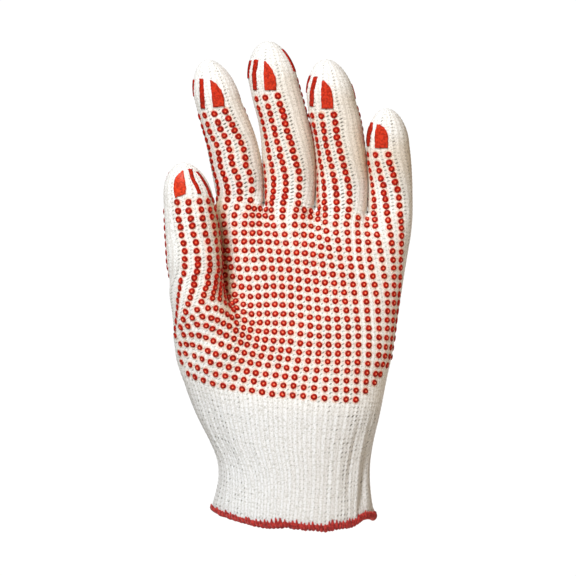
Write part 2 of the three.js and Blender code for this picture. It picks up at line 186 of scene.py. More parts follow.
def extent(z, joined):
    """The left and right edges of the cloth at heights z."""
    left, right = along(SMOOTH_HAND, z, (1, 2))
    if joined:
        left = np.minimum(left, np.where(z > THUMB_LOW, along(SMOOTH["thumb"], z, (1,))[0], 0))
    return left, right


print("crotches at x", CROTCH_X)

# %% How far the hand and the thumb's root reach
BEYOND, HALVINGS = 120.0, 18  # a reach that is surely outside, and how often it is halved


def reach_of_hand(centre, angle, z):
    """How far the hand reaches from centre at each angle, found by halving."""
    low, high = np.zeros_like(angle), np.full_like(angle, BEYOND)
    for _ in range(HALVINGS):
        tried = (low + high) / 2
        x, y = centre[0] + tried * np.cos(angle), centre[1] + tried * np.sin(angle)
        palm_y, back_y = hand_sides(x, z)
        inside = (y > palm_y) & (y < back_y)
        low, high = np.where(inside, tried, low), np.where(inside, high, tried)
    return low


def reach_of_thumb(centre, angle, z):
    """The same for the oval of the thumb's root."""
    middle, y, half, deep = digit_section("thumb", z)
    ax, ay = np.cos(angle) / half, np.sin(angle) / deep
    bx, by = (centre[0] - middle) / half, (centre[1] - y) / deep
    a, b, c = ax**2 + ay**2, ax * bx + ay * by, bx**2 + by**2 - 1
    found = (-b + np.sqrt(np.maximum(b * b - a * c, 0))) / a
    return np.where(z > THUMB_LOW, np.maximum(found, 0), 0)


print("palm and back at the middle", [round(float(y), 1) for y in hand_sides(0.0, 110.0)])

# %% [markdown]
# ## Where each stitch lies
# A seamless glove is knitted in wales, the columns of stitches, and courses, its rows. Fingers start
# with a few dozen wales round each tip, and those wales run on down into the palm. So the cloth can be
# charted: for a few courses, the place of some wales as read off the photograph, in pixels of half a
# millimetre. Everything between follows by interpolation. Wales 0 to 46 cross the palm side from the
# left edge, 46 to 92 the back, and the 24 wales of the thumb count down from 0.

# %% The chart of the palm side: wale, x and y in pixels, for a course of every few rows of dots
PIXEL, ORIGIN_X, ORIGIN_Y = 0.5, 295, 523
HAND_CHART = {
    0: [(0, 216, 198), (3, 228, 199), (5, 240, 199), (7, 251.5, 199), (12, 264, 203), (15, 270.5, 203),
        (17, 283, 203), (19, 298.5, 203), (24, 314.5, 207), (27, 324, 209), (29, 336.5, 209),
        (31, 349, 209), (36, 367, 213), (38, 373, 213), (40, 386, 213), (42, 399, 214), (46, 413, 216)],
    2: [(0, 214, 216), (3, 224.5, 215.5), (5, 235, 215.5), (7, 246, 215.5), (12, 262.5, 215.2),
        (15, 272, 218), (17, 282.5, 217), (19, 295, 216), (24, 313.5, 217), (27, 324.5, 222.5),
        (29, 335, 224.5), (31, 346, 224), (36, 366, 225), (38, 374, 227), (40, 388.5, 227),
        (42, 400.5, 228), (45.7, 412, 230)],
    6: [(-2.5, 211, 250.5), (0, 221, 250.5), (3, 228, 250.5), (5, 236, 250), (7, 244.5, 250.5),
        (12, 265.5, 250), (15, 279, 251.5), (17, 287, 252), (19, 296.5, 252.5), (24, 317, 255),
        (27, 330.5, 256.5), (29, 340, 257.5), (31, 349.5, 258), (36, 369, 259), (38, 381.5, 259.5),
        (40, 393.5, 259.5), (42, 400.5, 259.5), (45, 408, 259.5)],
    11: [(-2, 207, 288), (0, 222, 290), (3, 235, 294.5), (5, 242.5, 296), (7, 250.5, 297),
         (12, 270.5, 295), (15, 282.5, 295), (17, 291, 296), (19, 299.5, 297.5), (24, 321.5, 300),
         (27, 335.5, 301), (29, 345, 301.5), (31, 355, 301.5), (36, 377, 302), (38, 388, 302.5),
         (40, 394, 303), (42, 398.5, 303), (43.5, 401, 303)],
}
JOINED_CHART = {
    11: [(-14, 170, 291), (-13, 181, 288), (-11, 195, 284), (-9, 209, 282.5), (-7, 217, 283),
         (-3, 224, 286), (0, 229, 290)] + HAND_CHART[11][2:],
    14: [(-14, 171, 309), (-13, 178, 307), (-11, 188, 303.5), (-9, 202.5, 302), (-7, 213, 297),
         (-5, 220, 298), (-3, 226, 302), (-1, 230.5, 305), (1, 234, 309), (3, 237.5, 316),
         (5, 244.5, 320.5), (7, 252, 323), (12, 271.5, 322.5), (15, 283.5, 323.5), (17, 292, 323),
         (19, 301, 325), (24, 323.5, 327.5), (27, 337.5, 327.5), (31, 358, 327.5), (36, 378.5, 328.5),
         (38, 387, 328.5), (40, 392.5, 329), (42, 395.5, 329), (43, 396.5, 329)],
    17: [(-14, 172.5, 329), (-13, 175, 328), (-11, 181, 327), (-9, 188, 326), (-7, 197.5, 323.5),
         (-5, 206.5, 325), (-3, 212.5, 328), (-1, 219.5, 332.5), (1, 226.5, 335), (3, 234, 338.5),
         (5, 240.5, 342), (7, 247, 344), (12, 268, 348.8), (15, 280.5, 349.5), (17, 289, 350),
         (19, 299, 352), (24, 323, 353), (27, 337.5, 353), (31, 358, 353), (36, 378.5, 355),
         (38, 385, 356), (40, 389.5, 356.5), (42, 392, 357)],
    19: [(-11.3, 175.5, 343), (-9, 181.5, 344), (-7, 187, 343.5), (-5, 193, 344.5), (-3, 200.5, 347.5),
         (-1, 208, 350.5), (1, 216.5, 354), (3, 225, 355.5), (5, 233.5, 357.5), (7, 242, 361),
         (12, 263.5, 364.3), (15, 278.5, 366), (17, 287, 367.5), (19, 296.5, 368.5), (24, 321.5, 370),
         (27, 336.5, 370.5), (31, 357, 371), (36, 375.5, 374), (38, 380, 374), (40, 384.5, 374),
         (43, 388, 374)],
    22: [(-6.2, 182.5, 371), (-3, 189, 374), (-1, 195.5, 377), (1, 203.5, 380), (3, 213.5, 383.5),
         (5, 223.5, 385.5), (7, 233, 387), (12, 257.5, 391), (15, 273, 393.5), (17, 283, 394),
         (19, 293, 394.5), (24, 319, 397.5), (27, 336, 398.5), (31, 356, 399.5), (36, 373, 400),
         (40, 381, 400), (43, 383.5, 400)],
    28: [(-6.2, 205, 434), (7, 243, 448), (17, 284, 452), (31, 346, 453), (43, 374, 446)],
    36: [(-6.2, 213, 507.5), (-1.3, 228, 514.5), (5.6, 250, 520.5), (12.3, 270, 523), (17, 285, 522.5),
         (20.8, 300, 524.5), (26.2, 322, 526), (30.6, 340, 524), (34.9, 353, 521.5), (38.9, 364, 515.5),
         (43, 374, 514.5)],
}
PALM_ROWS, THUMB_ROW, HEM_ROW = 22, 11, 36  # one row here is two courses, the pitch of the dots
HAND_WALES, THUMB_WALES = 92, 24
ALL_WALES = HAND_WALES + THUMB_WALES
print("charted rows", sorted({*HAND_CHART, *JOINED_CHART}))

# %% [markdown]
# A row of the cloth is then a ring round the hand. First its outline is found, from the reach of the
# hand and of the thumb's root, then every wale gets its place along that outline: where the chart says
# on the palm side, and evenly on the back, except near the crotches, which hold it.

# %% One row of the cloth
SAMPLES, ATTEMPTS = 600, 5
CROTCHES = {12: 80, 24: 68, 36: 56}  # the wales of the palm side and of the back that meet there
# From which row, and over how many, a crotch holds the back: with the thumb joined, and without
EASE_ROWS = {True: (THUMB_ROW, 7), False: (0, 6)}


def ring(row, joined):
    """Where every wale of one row of the cloth lies: {wale: point}."""
    chart = JOINED_CHART if joined else HAND_CHART
    low = max(k for k in chart if k <= row)
    high = min(k for k in chart if k >= row)
    share = 0 if high == low else (row - low) / (high - low)
    keyed = []
    for key in (low, high):
        wale, px, py = np.array(chart[key], float).T
        keyed.append((wale, (px - ORIGIN_X) * PIXEL, (ORIGIN_Y - py) * PIXEL))
    root_z, root_x, root_y = zip(*ROOT_CENTRE)

    def front_height(x):
        return sum(weight * np.interp(x, k[1], k[2]) for weight, k in zip((1 - share, share), keyed))

    z = np.full(SAMPLES + 1, float(front_height(0.0)))
    first = math.pi
    turn = np.linspace(0, math.tau, SAMPLES + 1)
    for attempt in range(ATTEMPTS):
        angle = first + turn
        if joined:
            centre = [np.interp(z, root_z, across_root) for across_root in (root_x, root_y)]
            hand, thumb = reach_of_hand(centre, angle, z), reach_of_thumb(centre, angle, z)
            reach = (hand + thumb + np.sqrt((hand - thumb) ** 2 + CREASE**2)) / 2
            on_thumb = thumb > hand
        else:
            centre = [0.5 * sum(extent(z, False)), along(SMOOTH_HAND, z, (3,))[0]]
            reach = reach_of_hand(centre, angle, z)
        x, y = centre[0] + reach * np.cos(angle), centre[1] + reach * np.sin(angle)
        if attempt == 0:
            first = math.pi + (turn[np.argmin(x)] + math.pi) % math.tau - math.pi
            continue
        edge = int(np.argmax(x))
        z = front_height(x)
        back = (x[edge:] - x[-1]) / (x[edge] - x[-1])
        z[edge:] = z[0] + (z[edge] - z[0]) * np.clip(back, 0, 1)
    curve = np.stack([x, y, z], 1)
    length = np.concatenate([[0], np.cumsum(np.linalg.norm(np.diff(curve, axis=0), axis=1))])
    half, whole = length[edge], length[-1]
    front_x = np.maximum.accumulate(x[: edge + 1])
    around = ALL_WALES if joined else HAND_WALES
    wales = np.arange(-THUMB_WALES if joined else 0, HAND_WALES + 1, dtype=float)
    placed = 0
    for weight, (wale, at_x, at_z) in zip((1 - share, share), keyed):
        left, right = extent(at_z[0], joined)[0], extent(at_z[-1], joined)[1]
        inside = (at_x - left) / (right - left) * (x[edge] - x[0]) + x[0]
        pins = np.interp(inside, front_x, length[: edge + 1])
        pins[0], pins[-1] = 0, half

        def even(w):
            return half + (w - wale[-1]) / (wale[0] + around - wale[-1]) * (whole - half)

        start, over = EASE_ROWS[joined]
        ease = max(0.0, 1 - (row - start) / over)
        if joined:
            behind = np.array([float(HAND_WALES)])
            crossing = edge + int(np.argmax(on_thumb[edge:]))
            held = np.array([length[crossing]]) if on_thumb[edge:].any() else even(behind)
        else:
            behind = np.array(sorted(CROTCHES.values()), float)
            held = np.interp([-c for c in CROTCH_X[::-1]], -x[edge:], length[edge:])
        behind_s = held * ease + even(behind) * (1 - ease)
        knots_w = np.concatenate([wale, behind, [wale[0] + around]])
        knots_s = np.concatenate([pins, behind_s, [whole]])
        wrapped = wale[0] + np.mod(wales - wale[0], around)
        turns = np.floor((wales - wale[0]) / around)
        placed = placed + weight * (np.interp(wrapped, knots_w, knots_s) + turns * whole)
    return np.stack([np.interp(np.mod(placed, whole), length, curve[:, c]) for c in range(3)], 1)


print("wales of the top row", len(ring(0, False)))

# %% [markdown]
# ## Round each digit
# The wales of a digit turn slowly round it, because the hand turns inside the glove. A digit's place
# is given by how far up its length a course lies, and by the angle of a wale: 0 faces the camera.

# %% A point of a digit from its wale and the length above its base
TURN = {  # how far the wales are turned: millimetres up from the base, degrees
    "index": [(0, 16), (5, 18), (11, 15), (17, 7), (27, 10), (34, 0), (43, -5)],
    "middle": [(0, 1), (4, 5), (14, 6), (24, -3), (34, -11), (45, -13), (54, -14)],
    "ring": [(0, 5), (4, 4), (14, -3), (25, -14), (36, -19), (47, -16)],
    "little": [(0, 8), (9, 3), (18, -9), (29, -21)],
    "thumb": [(0, 5), (4, 10), (7, 14), (11, 16), (19, 18), (26, 12), (34, 9), (42, 9)],
}
# How far the courses lean down to the right, where each digit starts, and millimetres to a course
LEAN = {"index": 0.2, "middle": 0.14, "ring": 0.06, "little": 0.0, "thumb": 0.06}
BASE_Z = {"index": 162, "middle": 159.5, "ring": 157.2, "little": 154.5, "thumb": 119}
COURSE = {"index": 1.775, "middle": 1.775, "ring": 1.775, "little": 1.775, "thumb": 1.88}
THUMB_CROTCH = np.array([-38.5, -8, 116.5])
PROFILE = 400


def profile(name):
    """Heights of a digit and the length along its surface up to each."""
    z = np.linspace(BASE_Z[name], TIPS[name][2], PROFILE)
    middle, y, half, deep = digit_section(name, z)
    steps = np.hypot(np.diff((half + deep) / 2), np.diff(z))
    return z, np.concatenate([[0], np.cumsum(steps)])


def wale_angle(name, wale, up):
    """Degrees round a digit, 0 to the front, positive to the right, at a length up from its base."""
    ups, turns = zip(*TURN[name])
    turn = np.interp(up, ups, turns)
    if name == "thumb":
        return np.interp(wale, [-24, -14, 0], [-227, -49, 133]) + turn * smoothstep(up, -1, 8)
    around = 20 if name == "little" else 24
    return -90 + 360 / around * wale + turn


def digit_point(name, wale, up):
    """Points of a digit's surface at a length up from its base."""
    z_of, length = profile(name)
    z = np.interp(up, length, z_of)
    share = up / length[-1]
    half = digit_section(name, z)[2]
    angle = np.radians(wale_angle(name, wale, up))
    fade = smoothstep(share, 0, 0.12) * (1 - smoothstep(share, 0.7, 0.95))
    low = z + LEAN[name] * fade * half * np.sin(angle)
    middle, y, half, deep = digit_section(name, low)
    x_side, y_side = half * np.sin(angle), deep * np.cos(angle)
    return np.stack([middle + x_side, y - y_side, low], -1)


FINGER_WALES = {"index": (0, 12), "middle": (12, 24), "ring": (24, 36), "little": (36, 46)}
print({name: round(float(profile(name)[1][-1]), 1) for name in DIGITS})


# %% [markdown]
# ## The cage of stitches
# The cloth is made as a cage with one face for each stitch: a flat grid for each tube, as a knitter
# would chart it, rolled up by moving its vertices to their places and closed by merging the seam. Its
# UV map counts wales and courses, which later shapes the yarn.

# %% Grids rolled into tubes
cage = bmesh.new()
uv_layer = cage.loops.layers.uv.new("stitches")
part_layer = cage.faces.layers.int.new("part")
grid_i = cage.verts.layers.int.new("i")
grid_j = cage.verts.layers.int.new("j")
PARTS = ["thumb", "index", "middle", "ring", "little", "palm", "cuff"]


def roll(places, part_of_row, first_wale, first_course, step=1):
    """A grid whose vertices go to places[course][wale] in millimetres; step is -1 where it goes up."""
    courses, wales = places.shape[0] - 1, places.shape[1] - 1
    made = bmesh.ops.create_grid(cage, x_segments=wales, y_segments=courses, size=1, calc_uvs=False)
    faces = set()
    for v in made["verts"]:
        i = round((v.co.x + 1) / 2 * wales)
        j = round((v.co.y + 1) / 2 * courses)
        v.co = Vector(places[j, i]) * MM
        v[grid_i], v[grid_j] = i, j
        faces.update(v.link_faces)
    for face in faces:
        face[part_layer] = part_of_row(min(v[grid_j] for v in face.verts))
        face.smooth = True
        for loop in face.loops:
            course = first_course + step * loop.vert[grid_j]
            loop[uv_layer].uv = (first_wale + loop.vert[grid_i], course)


def ease_to(places, first, rows, power):
    """Moves the first row of places to first, and the next rows less and less."""
    shift = first - places[0]
    for j in range(rows):
        places[j] += shift * (1 - j / rows) ** power


def gather(places, rows, wales):
    """Draws the two edges of a slit together at the thumb's crotch."""
    for j, pull in zip(rows, (1.0, 0.7, 0.4, 0.2)):
        for i in wales:
            places[j, i] += (THUMB_CROTCH - places[j, i]) * pull


print("parts", PARTS)

# %% Palm, back and thumb
hand_places = np.array([ring(course / 2, False) for course in range(2 * THUMB_ROW + 1)])
body = np.array([ring(course / 2, True) for course in range(2 * THUMB_ROW, 2 * HEM_ROW + 1)])
thumb_length = profile("thumb")[1][-1]
thumb_courses = round(thumb_length / COURSE["thumb"])
stitch = np.arange(thumb_courses + 1)  # towards its root the courses are drawn together
up = np.interp(stitch, [0, 8, 22, thumb_courses], [0, 13, 41.3, thumb_length])[:, None]
thumb_wales = np.arange(-THUMB_WALES, 1, dtype=float)[None, :]
thumb_places = digit_point("thumb", thumb_wales + 0 * up, up + 0 * thumb_wales)

# The crotches: palm and back meet at one point there
for front_wale, back_wale in CROTCHES.items():
    for row, pull in ((0, 1.0), (1, 0.55), (2, 0.2)):
        a, b = hand_places[row, front_wale].copy(), hand_places[row, back_wale].copy()
        middle = (a + b) / 2
        hand_places[row, front_wale] = a + (middle - a) * pull
        hand_places[row, back_wale] = b + (middle - b) * pull
gather(hand_places, (-1, -2, -3, -4), (0, HAND_WALES))
ease_to(thumb_places, body[0, : THUMB_WALES + 1], 9, 1.8)
gather(thumb_places, (0, 1, 2, 3), (0, THUMB_WALES))
print("hand rows", hand_places.shape, "thumb", thumb_places.shape)

# %% Fingers from the top row of the palm
def finger_places(name):
    first, last = FINGER_WALES[name]
    half = last - first
    base = [hand_places[0, first + k] for k in range(half + 1)]
    base += [hand_places[0, HAND_WALES - last + k] for k in range(1, half + 1)]
    length = profile(name)[1][-1]
    courses = round(length / COURSE[name])
    up = np.linspace(0, length, courses + 1)[:, None]
    wales = np.arange(2 * half + 1, dtype=float)[None, :]
    places = digit_point(name, wales + 0 * up, up + 0 * wales)
    ease_to(places, np.array(base), 6, 1.6)
    return places


tubes = {name: finger_places(name) for name in FINGER_WALES}
tubes["thumb"] = thumb_places
for name, places in tubes.items():
    places[-1] = places[-1].mean(axis=0)
    start = 2 * THUMB_ROW if name == "thumb" else 0
    roll(places, lambda j, part=PARTS.index(name): part, 0, start, -1)
roll(hand_places, lambda j: PARTS.index("palm"), 0, 0)

# Below the thumb's crotch one tube takes the hand's wales and the thumb's
ease_to(body, np.concatenate([thumb_places[0], hand_places[-1][1:]]), 8, 2)
CUFF_ROW = 2 * (PALM_ROWS - THUMB_ROW) + 4
roll(body, lambda j: PARTS.index("cuff" if j >= CUFF_ROW else "palm"), -THUMB_WALES, 2 * THUMB_ROW)
bmesh.ops.remove_doubles(cage, verts=cage.verts, dist=2e-6)
bmesh.ops.recalc_face_normals(cage, faces=cage.faces)
print("cage faces", len(cage.faces), "open edges", sum(e.is_boundary for e in cage.edges))

# %% [markdown]
# ## From cage to cloth
# Catmull-Clark subdivision turns the cage into a smooth skin with four by four faces for each stitch.

# %% Smooth skin
WALL = 2.3  # thickness of the cloth in millimetres


def mesh_object(name, bm, levels=0):
    mesh = bpy.data.meshes.new(name)
    bm.to_mesh(mesh)
    made = bpy.data.objects.new(name, mesh)
    bpy.context.scene.collection.objects.link(made)
    if levels:
        smooth = made.modifiers.new("smooth", "SUBSURF")
        smooth.levels = smooth.render_levels = levels
        smooth.uv_smooth = "NONE"
        bpy.context.view_layer.update()
        evaluated = made.evaluated_get(bpy.context.evaluated_depsgraph_get())
        finished = bpy.data.meshes.new_from_object(evaluated)
        made.modifiers.clear()
        made.data = finished
    return made


skin = mesh_object("skin", cage, levels=2)
inside = cage.copy()
inside.normal_update()
inward = [vert.normal * -WALL * MM for vert in inside.verts]
for vert, shift in zip(inside.verts, inward):
    vert.co += shift
bmesh.ops.reverse_faces(inside, faces=inside.faces)
for face in inside.faces:
    face.smooth = True
lining = mesh_object("knit_inside", inside)
print("skin triangles", len(skin.data.polygons) * 2)

# %% The skin as arrays
def values_of(data, name, width=1, kind=float):
    """One property of all vertices, loops or faces, as an array with a row for each."""
    found = np.zeros(len(data) * width, kind)
    data.foreach_get(name, found)
    return found.reshape(-1, width) if width > 1 else found


count = len(skin.data.vertices)
rest = values_of(skin.data.vertices, "co", 3)
normals = values_of(skin.data.vertices, "normal", 3)
loop_vertex = values_of(skin.data.loops, "vertex_index", kind=int)
loop_uv = values_of(skin.data.uv_layers["stitches"].data, "uv", 2)
face_part = values_of(skin.data.attributes["part"].data, "value", kind=int)
loop_part = np.repeat(face_part, values_of(skin.data.polygons, "loop_total", kind=int))
stitch, vertex_part = np.zeros((count, 2)), np.zeros(count, int)
stitch[loop_vertex], vertex_part[loop_vertex] = loop_uv, loop_part
print("vertices", count)

# %% Where a wale and a course meet
site = {}
whole = np.all(np.abs(loop_uv - np.round(loop_uv)) < 1e-3, axis=1)
whole_uv = np.round(loop_uv[whole]).astype(int)
for vertex, (wale, course), part in zip(loop_vertex[whole], whole_uv, loop_part[whole]):
    kind = PARTS[part] if part < 5 else "body"
    site[kind, int(wale), int(course)] = int(vertex)
print("sites", len(site))

# %% [markdown]
# ## Yarn
# In plain knit each stitch shows as a V: two legs of yarn that lean apart, each over the one below. In
# the cuff the elastic draws the wales together in pairs, so it stands in upright ribs. Both are real
# relief of half a millimetre or so, moved along the surface.

# %% Relief of stitches and ribs
PLAIN_DEPTH, RIB_DEPTH = 0.4, 0.24  # millimetres
FOLDS = [  # soft folds of the cuff: wale, wales wide, first and last course, depth in millimetres
    (38.2, 1.2, 50, 74, -1.8), (41, 1.3, 48, 74, 0.6), (33.5, 1.6, 47, 70, -0.7),
    (36, 1.1, 46, 72, 0.4), (27, 1.2, 50, 72, -0.3), (15.5, 1.3, 52, 72, -0.3),
    (7.5, 1.5, 46, 68, -0.4), (0.5, 2.4, 44, 66, -0.9), (21, 1.4, 44, 60, -0.25),
    (50, 1.6, 46, 70, -0.8), (57, 1.4, 50, 72, -0.5), (66, 1.5, 46, 68, -0.8),
    (75, 1.4, 50, 72, -0.5), (84, 1.6, 47, 69, -0.8),
]
DEEPEST_FOLD = 38.2
u, v = stitch[:, 0], stitch[:, 1]
fu, fv = u - np.floor(u), v - np.floor(v)
legs = hump(np.abs(fu - 0.5) * 2, 0.8 - 0.6 * fv, 0.34) * (0.8 + 0.2 * np.sin(np.pi * fv))
in_cuff = smoothstep(v, 2 * PALM_ROWS - 2, 2 * PALM_ROWS + 6) * (vertex_part >= 5)
ribs = 0.5 + 0.5 * np.cos(np.pi * u)
wander = np.sin(0.9 * u + 0.22 * v) * np.sin(0.37 * u - 0.15 * v + 1)
relief = PLAIN_DEPTH * legs * (1 - 0.2 * in_cuff) - 0.25
relief += in_cuff * (RIB_DEPTH * (ribs - 0.5) * (1 + 0.6 * wander))
for wale, wide, first, last, depth in FOLDS:
    drift = wale + 0.7 * np.sin(0.13 * v + wale)
    share = smoothstep(v, first, first + 8) * (1 - smoothstep(v, last - 8, last))
    relief += depth * hump(u, drift, wide) * share * (vertex_part >= 5)
relief += 0.12 * np.sin(0.31 * u + 0.17 * v) * np.sin(0.23 * v - 0.11 * u + 2)
# Near their roots the fingers lean on each other and the gap closes
lean = np.zeros(count)
for part, sides in ((1, (12,)), (2, (12, 24)), (3, (12, 24)), (4, (20,))):
    for side in sides:
        around = 0 if side == 12 else side  # wale 0 is also the last one
        off = np.minimum(np.abs(u - side), np.abs(u + around - side))
        lean += (vertex_part == part) * hump(off, 0, 2.2) * smoothstep(v, -27, -15)
relief += 0.5 * lean
knit = rest + normals * relief[:, None] * MM
skin.data.vertices.foreach_set("co", knit.ravel())
print("relief in millimetres", round(float(relief.min()), 2), round(float(relief.max()), 2))

# %% [markdown]
# Between two dots the cloth is drawn tight and each stitch gapes, most of all along one wale of each
# finger. Under the dots, at the fingertips and in the cuff only a few stitches show a hole. So each
# stitch gets a number, by its wale and course and by chance, that sets how much painted shade the
# cotton puts in its hole.

# %% How open each stitch is
chance = np.random.default_rng(21)
PERIOD, DEEPEST = 256, 256
openness = chance.random((PERIOD, DEEPEST))
cell_u, cell_v = np.round(u).astype(int), np.floor(v + 0.65).astype(int)
luck = openness[cell_u % PERIOD, cell_v % DEEPEST]
by_wale = chance.random(PERIOD)[cell_u % PERIOD]
between_dots = (cell_u % 2 == 0) & (cell_u >= -14)
FINGER_GAPS = {2: 0.5, 4: 1.0, 6: 1.15, 8: 1.0, 10: 0.4}
LITTLE_GAPS = {1: 0.4, 3: 0.6, 5: 1.0, 7: 0.9, 9: 0.45}
gape = np.full(count, 0.1)
for part in range(5):
    gaps = LITTLE_GAPS if PARTS[part] == "little" else FINGER_GAPS
    around = 20 if PARTS[part] == "little" else 24
    here = vertex_part == part
    if PARTS[part] == "thumb":
        gape[here & (cell_u % 2 == 0)] = 0.66
        continue
    for wale, strength in gaps.items():
        gape[here & ((cell_u == wale) | (cell_u == (wale + around // 2) % around))] = strength
palm = vertex_part >= 5
gape[palm & between_dots] = 0.74
gape[palm & between_dots & (cell_u >= 20)] = 0.86
gape[palm & (cell_u > 31) & (cell_u < 44)] = 0.42
fingertip = (vertex_part < 5) * smoothstep(-v - np.where(vertex_part == 0, -22, 0), 20, 36)
gape = np.maximum(gape, 0.34 * fingertip) * (0.45 + 0.55 * luck) * (1 - 0.25 * fingertip)
cuff_gape = 0.08 + 0.16 * by_wale + np.where(luck * (0.6 + 0.5 * by_wale) > 0.6, 0.34 * luck, 0)
# In the cuff, more painted hole shade at its left, round wale 31 and in the valley of the deepest fold
darker_cuff_holes = hump(u, 1, 7) + hump(u, 31, 4) * (2 - smoothstep(v, 42, 54))
darker_cuff_holes += 1.7 * hump(u, DEEPEST_FOLD, 1.3)
cuff_gape = cuff_gape * (0.8 + 0.9 * darker_cuff_holes)
gape = gape * (1 - in_cuff) + cuff_gape * in_cuff
print("stitches that gape", int((gape > 0.5).sum() / 16))

# %% [markdown]
# ## Painted shade and a greyer cuff
# The cotton gets painted shade: a warm beige darkening in the fold beside the thumb, where the
# fingers touch near their roots, down the right side of each finger and a little all round the
# shafts of the fingers. In the fold it also stands for red light cast back from the print. The cuff
# is a little greyer.

# %% How much painted shade each stitch gets
x_mm, y_mm, z_mm = rest.T / MM
in_fold = smoothstep(z_mm, 98, 112) * (1 - smoothstep(z_mm, 158, 170)) * (y_mm < 6)
fold_x = -40 + (166.5 - z_mm) * 0.123  # the fold runs down to the right
# Painted shade and painted red light in the fold beside the thumb, and painted shade where fingers
# touch
painted_shade = in_fold * hump(x_mm, fold_x, 3.6) + 0.45 * lean
# Painted shade down the right side of each finger, and weaker all round its shaft
for part, right, all_round in ((1, 12, 0.08), (2, 12, 0.18), (3, 12, 0.25), (4, 10, 0.33)):
    top = TIPS[PARTS[part]][2]
    upright = smoothstep(z_mm, 164, 180) * (1 - smoothstep(z_mm, top - 22, top - 10))
    beside = hump(u, right, 2.8)
    painted_shade += (vertex_part == part) * (0.42 * beside + all_round * (1 - beside)) * upright


def note(name, values):
    """Keeps one value for each vertex of the skin as an attribute, for the cotton to read."""
    made = skin.data.attributes.new(name, "FLOAT", "POINT")
    made.data.foreach_set("value", values.astype(np.float32))
    print(name, "from", round(float(values.min()), 2), "to", round(float(values.max()), 2))


note("gape", gape)
note("painted_shade", np.minimum(painted_shade, 1))
# A cooler grey for the cuff's cotton
note("elastic", in_cuff * np.ones(count))
skin.data.update()

# %% [markdown]
# ## Where the print lies
# The print is a grid: a dot on every second wale and every second course. So the dots take their
# places from the stitches. Round each dot the yarn is painted faintly pink: painted red light cast
# back from the print.

# %% Where the dots are
PALM_COLUMNS = [*range(1, 32, 2), 33.5, 36, 38, 40, 42]
FINGER_COLUMNS = {
    "index": [1, 3, 5, 7], "middle": [1, 3, 5, 7], "ring": [1.3, 3, 5, 7], "little": [0, 2, 4, 6],
}
FINGER_ROWS = {"index": 12, "middle": 15, "ring": 13, "little": 8}
# Rows of the column beside the back's edge bar, and how many courses the fourth column rides up
FAR_ROWS = {"index": 12, "middle": 17, "ring": 14, "little": 8}
LAST_RISE = {"index": 1.2, "middle": 0.9, "ring": 0.1, "little": 0.8}
THUMB_COLUMNS = range(-1, -14, -2)
LAST_ROW = {33.5: 21, 36: 20, 38: 19, 40: 18, 42: 17, -5: 21, -7: 20, -9: 19, -11: 18, -13: 17}
THUMB_BACK_COLUMNS = range(-17, -24, -2)
dots = {name: [] for name in ("palm", "back", "thumb", *FINGER_COLUMNS)}


def middle_of(kind, wale, course):
    """The point and the outward direction at a wale and course, also between whole ones."""
    low_wale, low_course = math.floor(wale), math.floor(course)
    shares = {(w, c): (1 - abs(wale - w)) * (1 - abs(course - c))
              for w in (low_wale, low_wale + 1) for c in (low_course, low_course + 1)}
    corners = {site.get((kind, *where)): share for where, share in shares.items() if share > 0}
    if None in corners:
        return None
    return [sum(values[k] * share for k, share in corners.items()) for values in (rest, normals)]


def add_dot(group, kind, wale, course):
    found = middle_of(kind, wale, course)
    if found is not None:
        dots[group].append(found)


print("columns of the palm", len(PALM_COLUMNS))

# %% The rows of dots
for wale in PALM_COLUMNS:
    for row in range(1, LAST_ROW.get(wale, PALM_ROWS) + 1):
        add_dot("palm", "body", wale, 2 * row)
        add_dot("back", "body", HAND_WALES - wale, 2 * row)
for wale in THUMB_COLUMNS:
    for row in range(THUMB_ROW + 1, LAST_ROW.get(wale, PALM_ROWS) + 1):
        add_dot("palm", "body", wale, 2 * row)
    for row in range(0, THUMB_ROW + 1):
        add_dot("thumb", "thumb", THUMB_WALES + wale, 2 * row)
for wale in THUMB_BACK_COLUMNS:
    for row in range(THUMB_ROW + 1, 20):
        add_dot("back", "body", wale, 2 * row)
    for row in range(1, THUMB_ROW + 1):
        add_dot("thumb", "thumb", THUMB_WALES + wale, 2 * row)
for name, columns in FINGER_COLUMNS.items():
    turned = 12.4 if name == "little" else 12
    for wale in columns:
        for row in range(0, FINGER_ROWS[name] + 1):
            rise = LAST_RISE[name] * (wale == columns[3]) * math.sin(math.pi * row / FINGER_ROWS[name])
            course = -2 * row - 0.5 * (row == FINGER_ROWS[name]) - rise
            turned_off = name == "middle" and wale == 1 and row > 6  # the print turned on the finger
            add_dot(name, name, 23.5 if turned_off else wale, course)
        for row in range(0, (FAR_ROWS if wale == columns[0] else FINGER_ROWS)[name] + 1):
            add_dot(name, name, wale + turned, -2 * row)
print({name: len(found) for name, found in dots.items()})

# %% Painted red light round each dot
GLOW_NEAR, GLOW_FAR = 1.7, 2.55  # millimetres from the middle of a dot
every_dot = [point for found in dots.values() for point, _ in found]
near_dots = KDTree(len(every_dot))
for k, point in enumerate(every_dot):
    near_dots.insert(point, k)
near_dots.balance()
from_dot = np.array([near_dots.find(point)[2] for point in rest]) / MM
# Painted red light from the print: a pink tint of the yarn, fading out from 1.7 to 2.55 mm off a dot
note("painted_red_glow", 1 - smoothstep(from_dot, GLOW_NEAR, GLOW_FAR))

# %% [markdown]
# ## Materials
# Each material starts from what the real one is. One function turns hex colours to the values that
# shaders take, one adds a node, and one makes the uneven tone that yarn and print share.

# %% Colours, nodes and uneven tones
def linear(hex_colour):
    """sRGB hex to the linear values that shaders take."""
    parts = [int(hex_colour[i : i + 2], 16) / 255 for i in (1, 3, 5)]
    return tuple(c / 12.92 if c <= 0.04045 else ((c + 0.055) / 1.055) ** 2.4 for c in parts) + (1.0,)


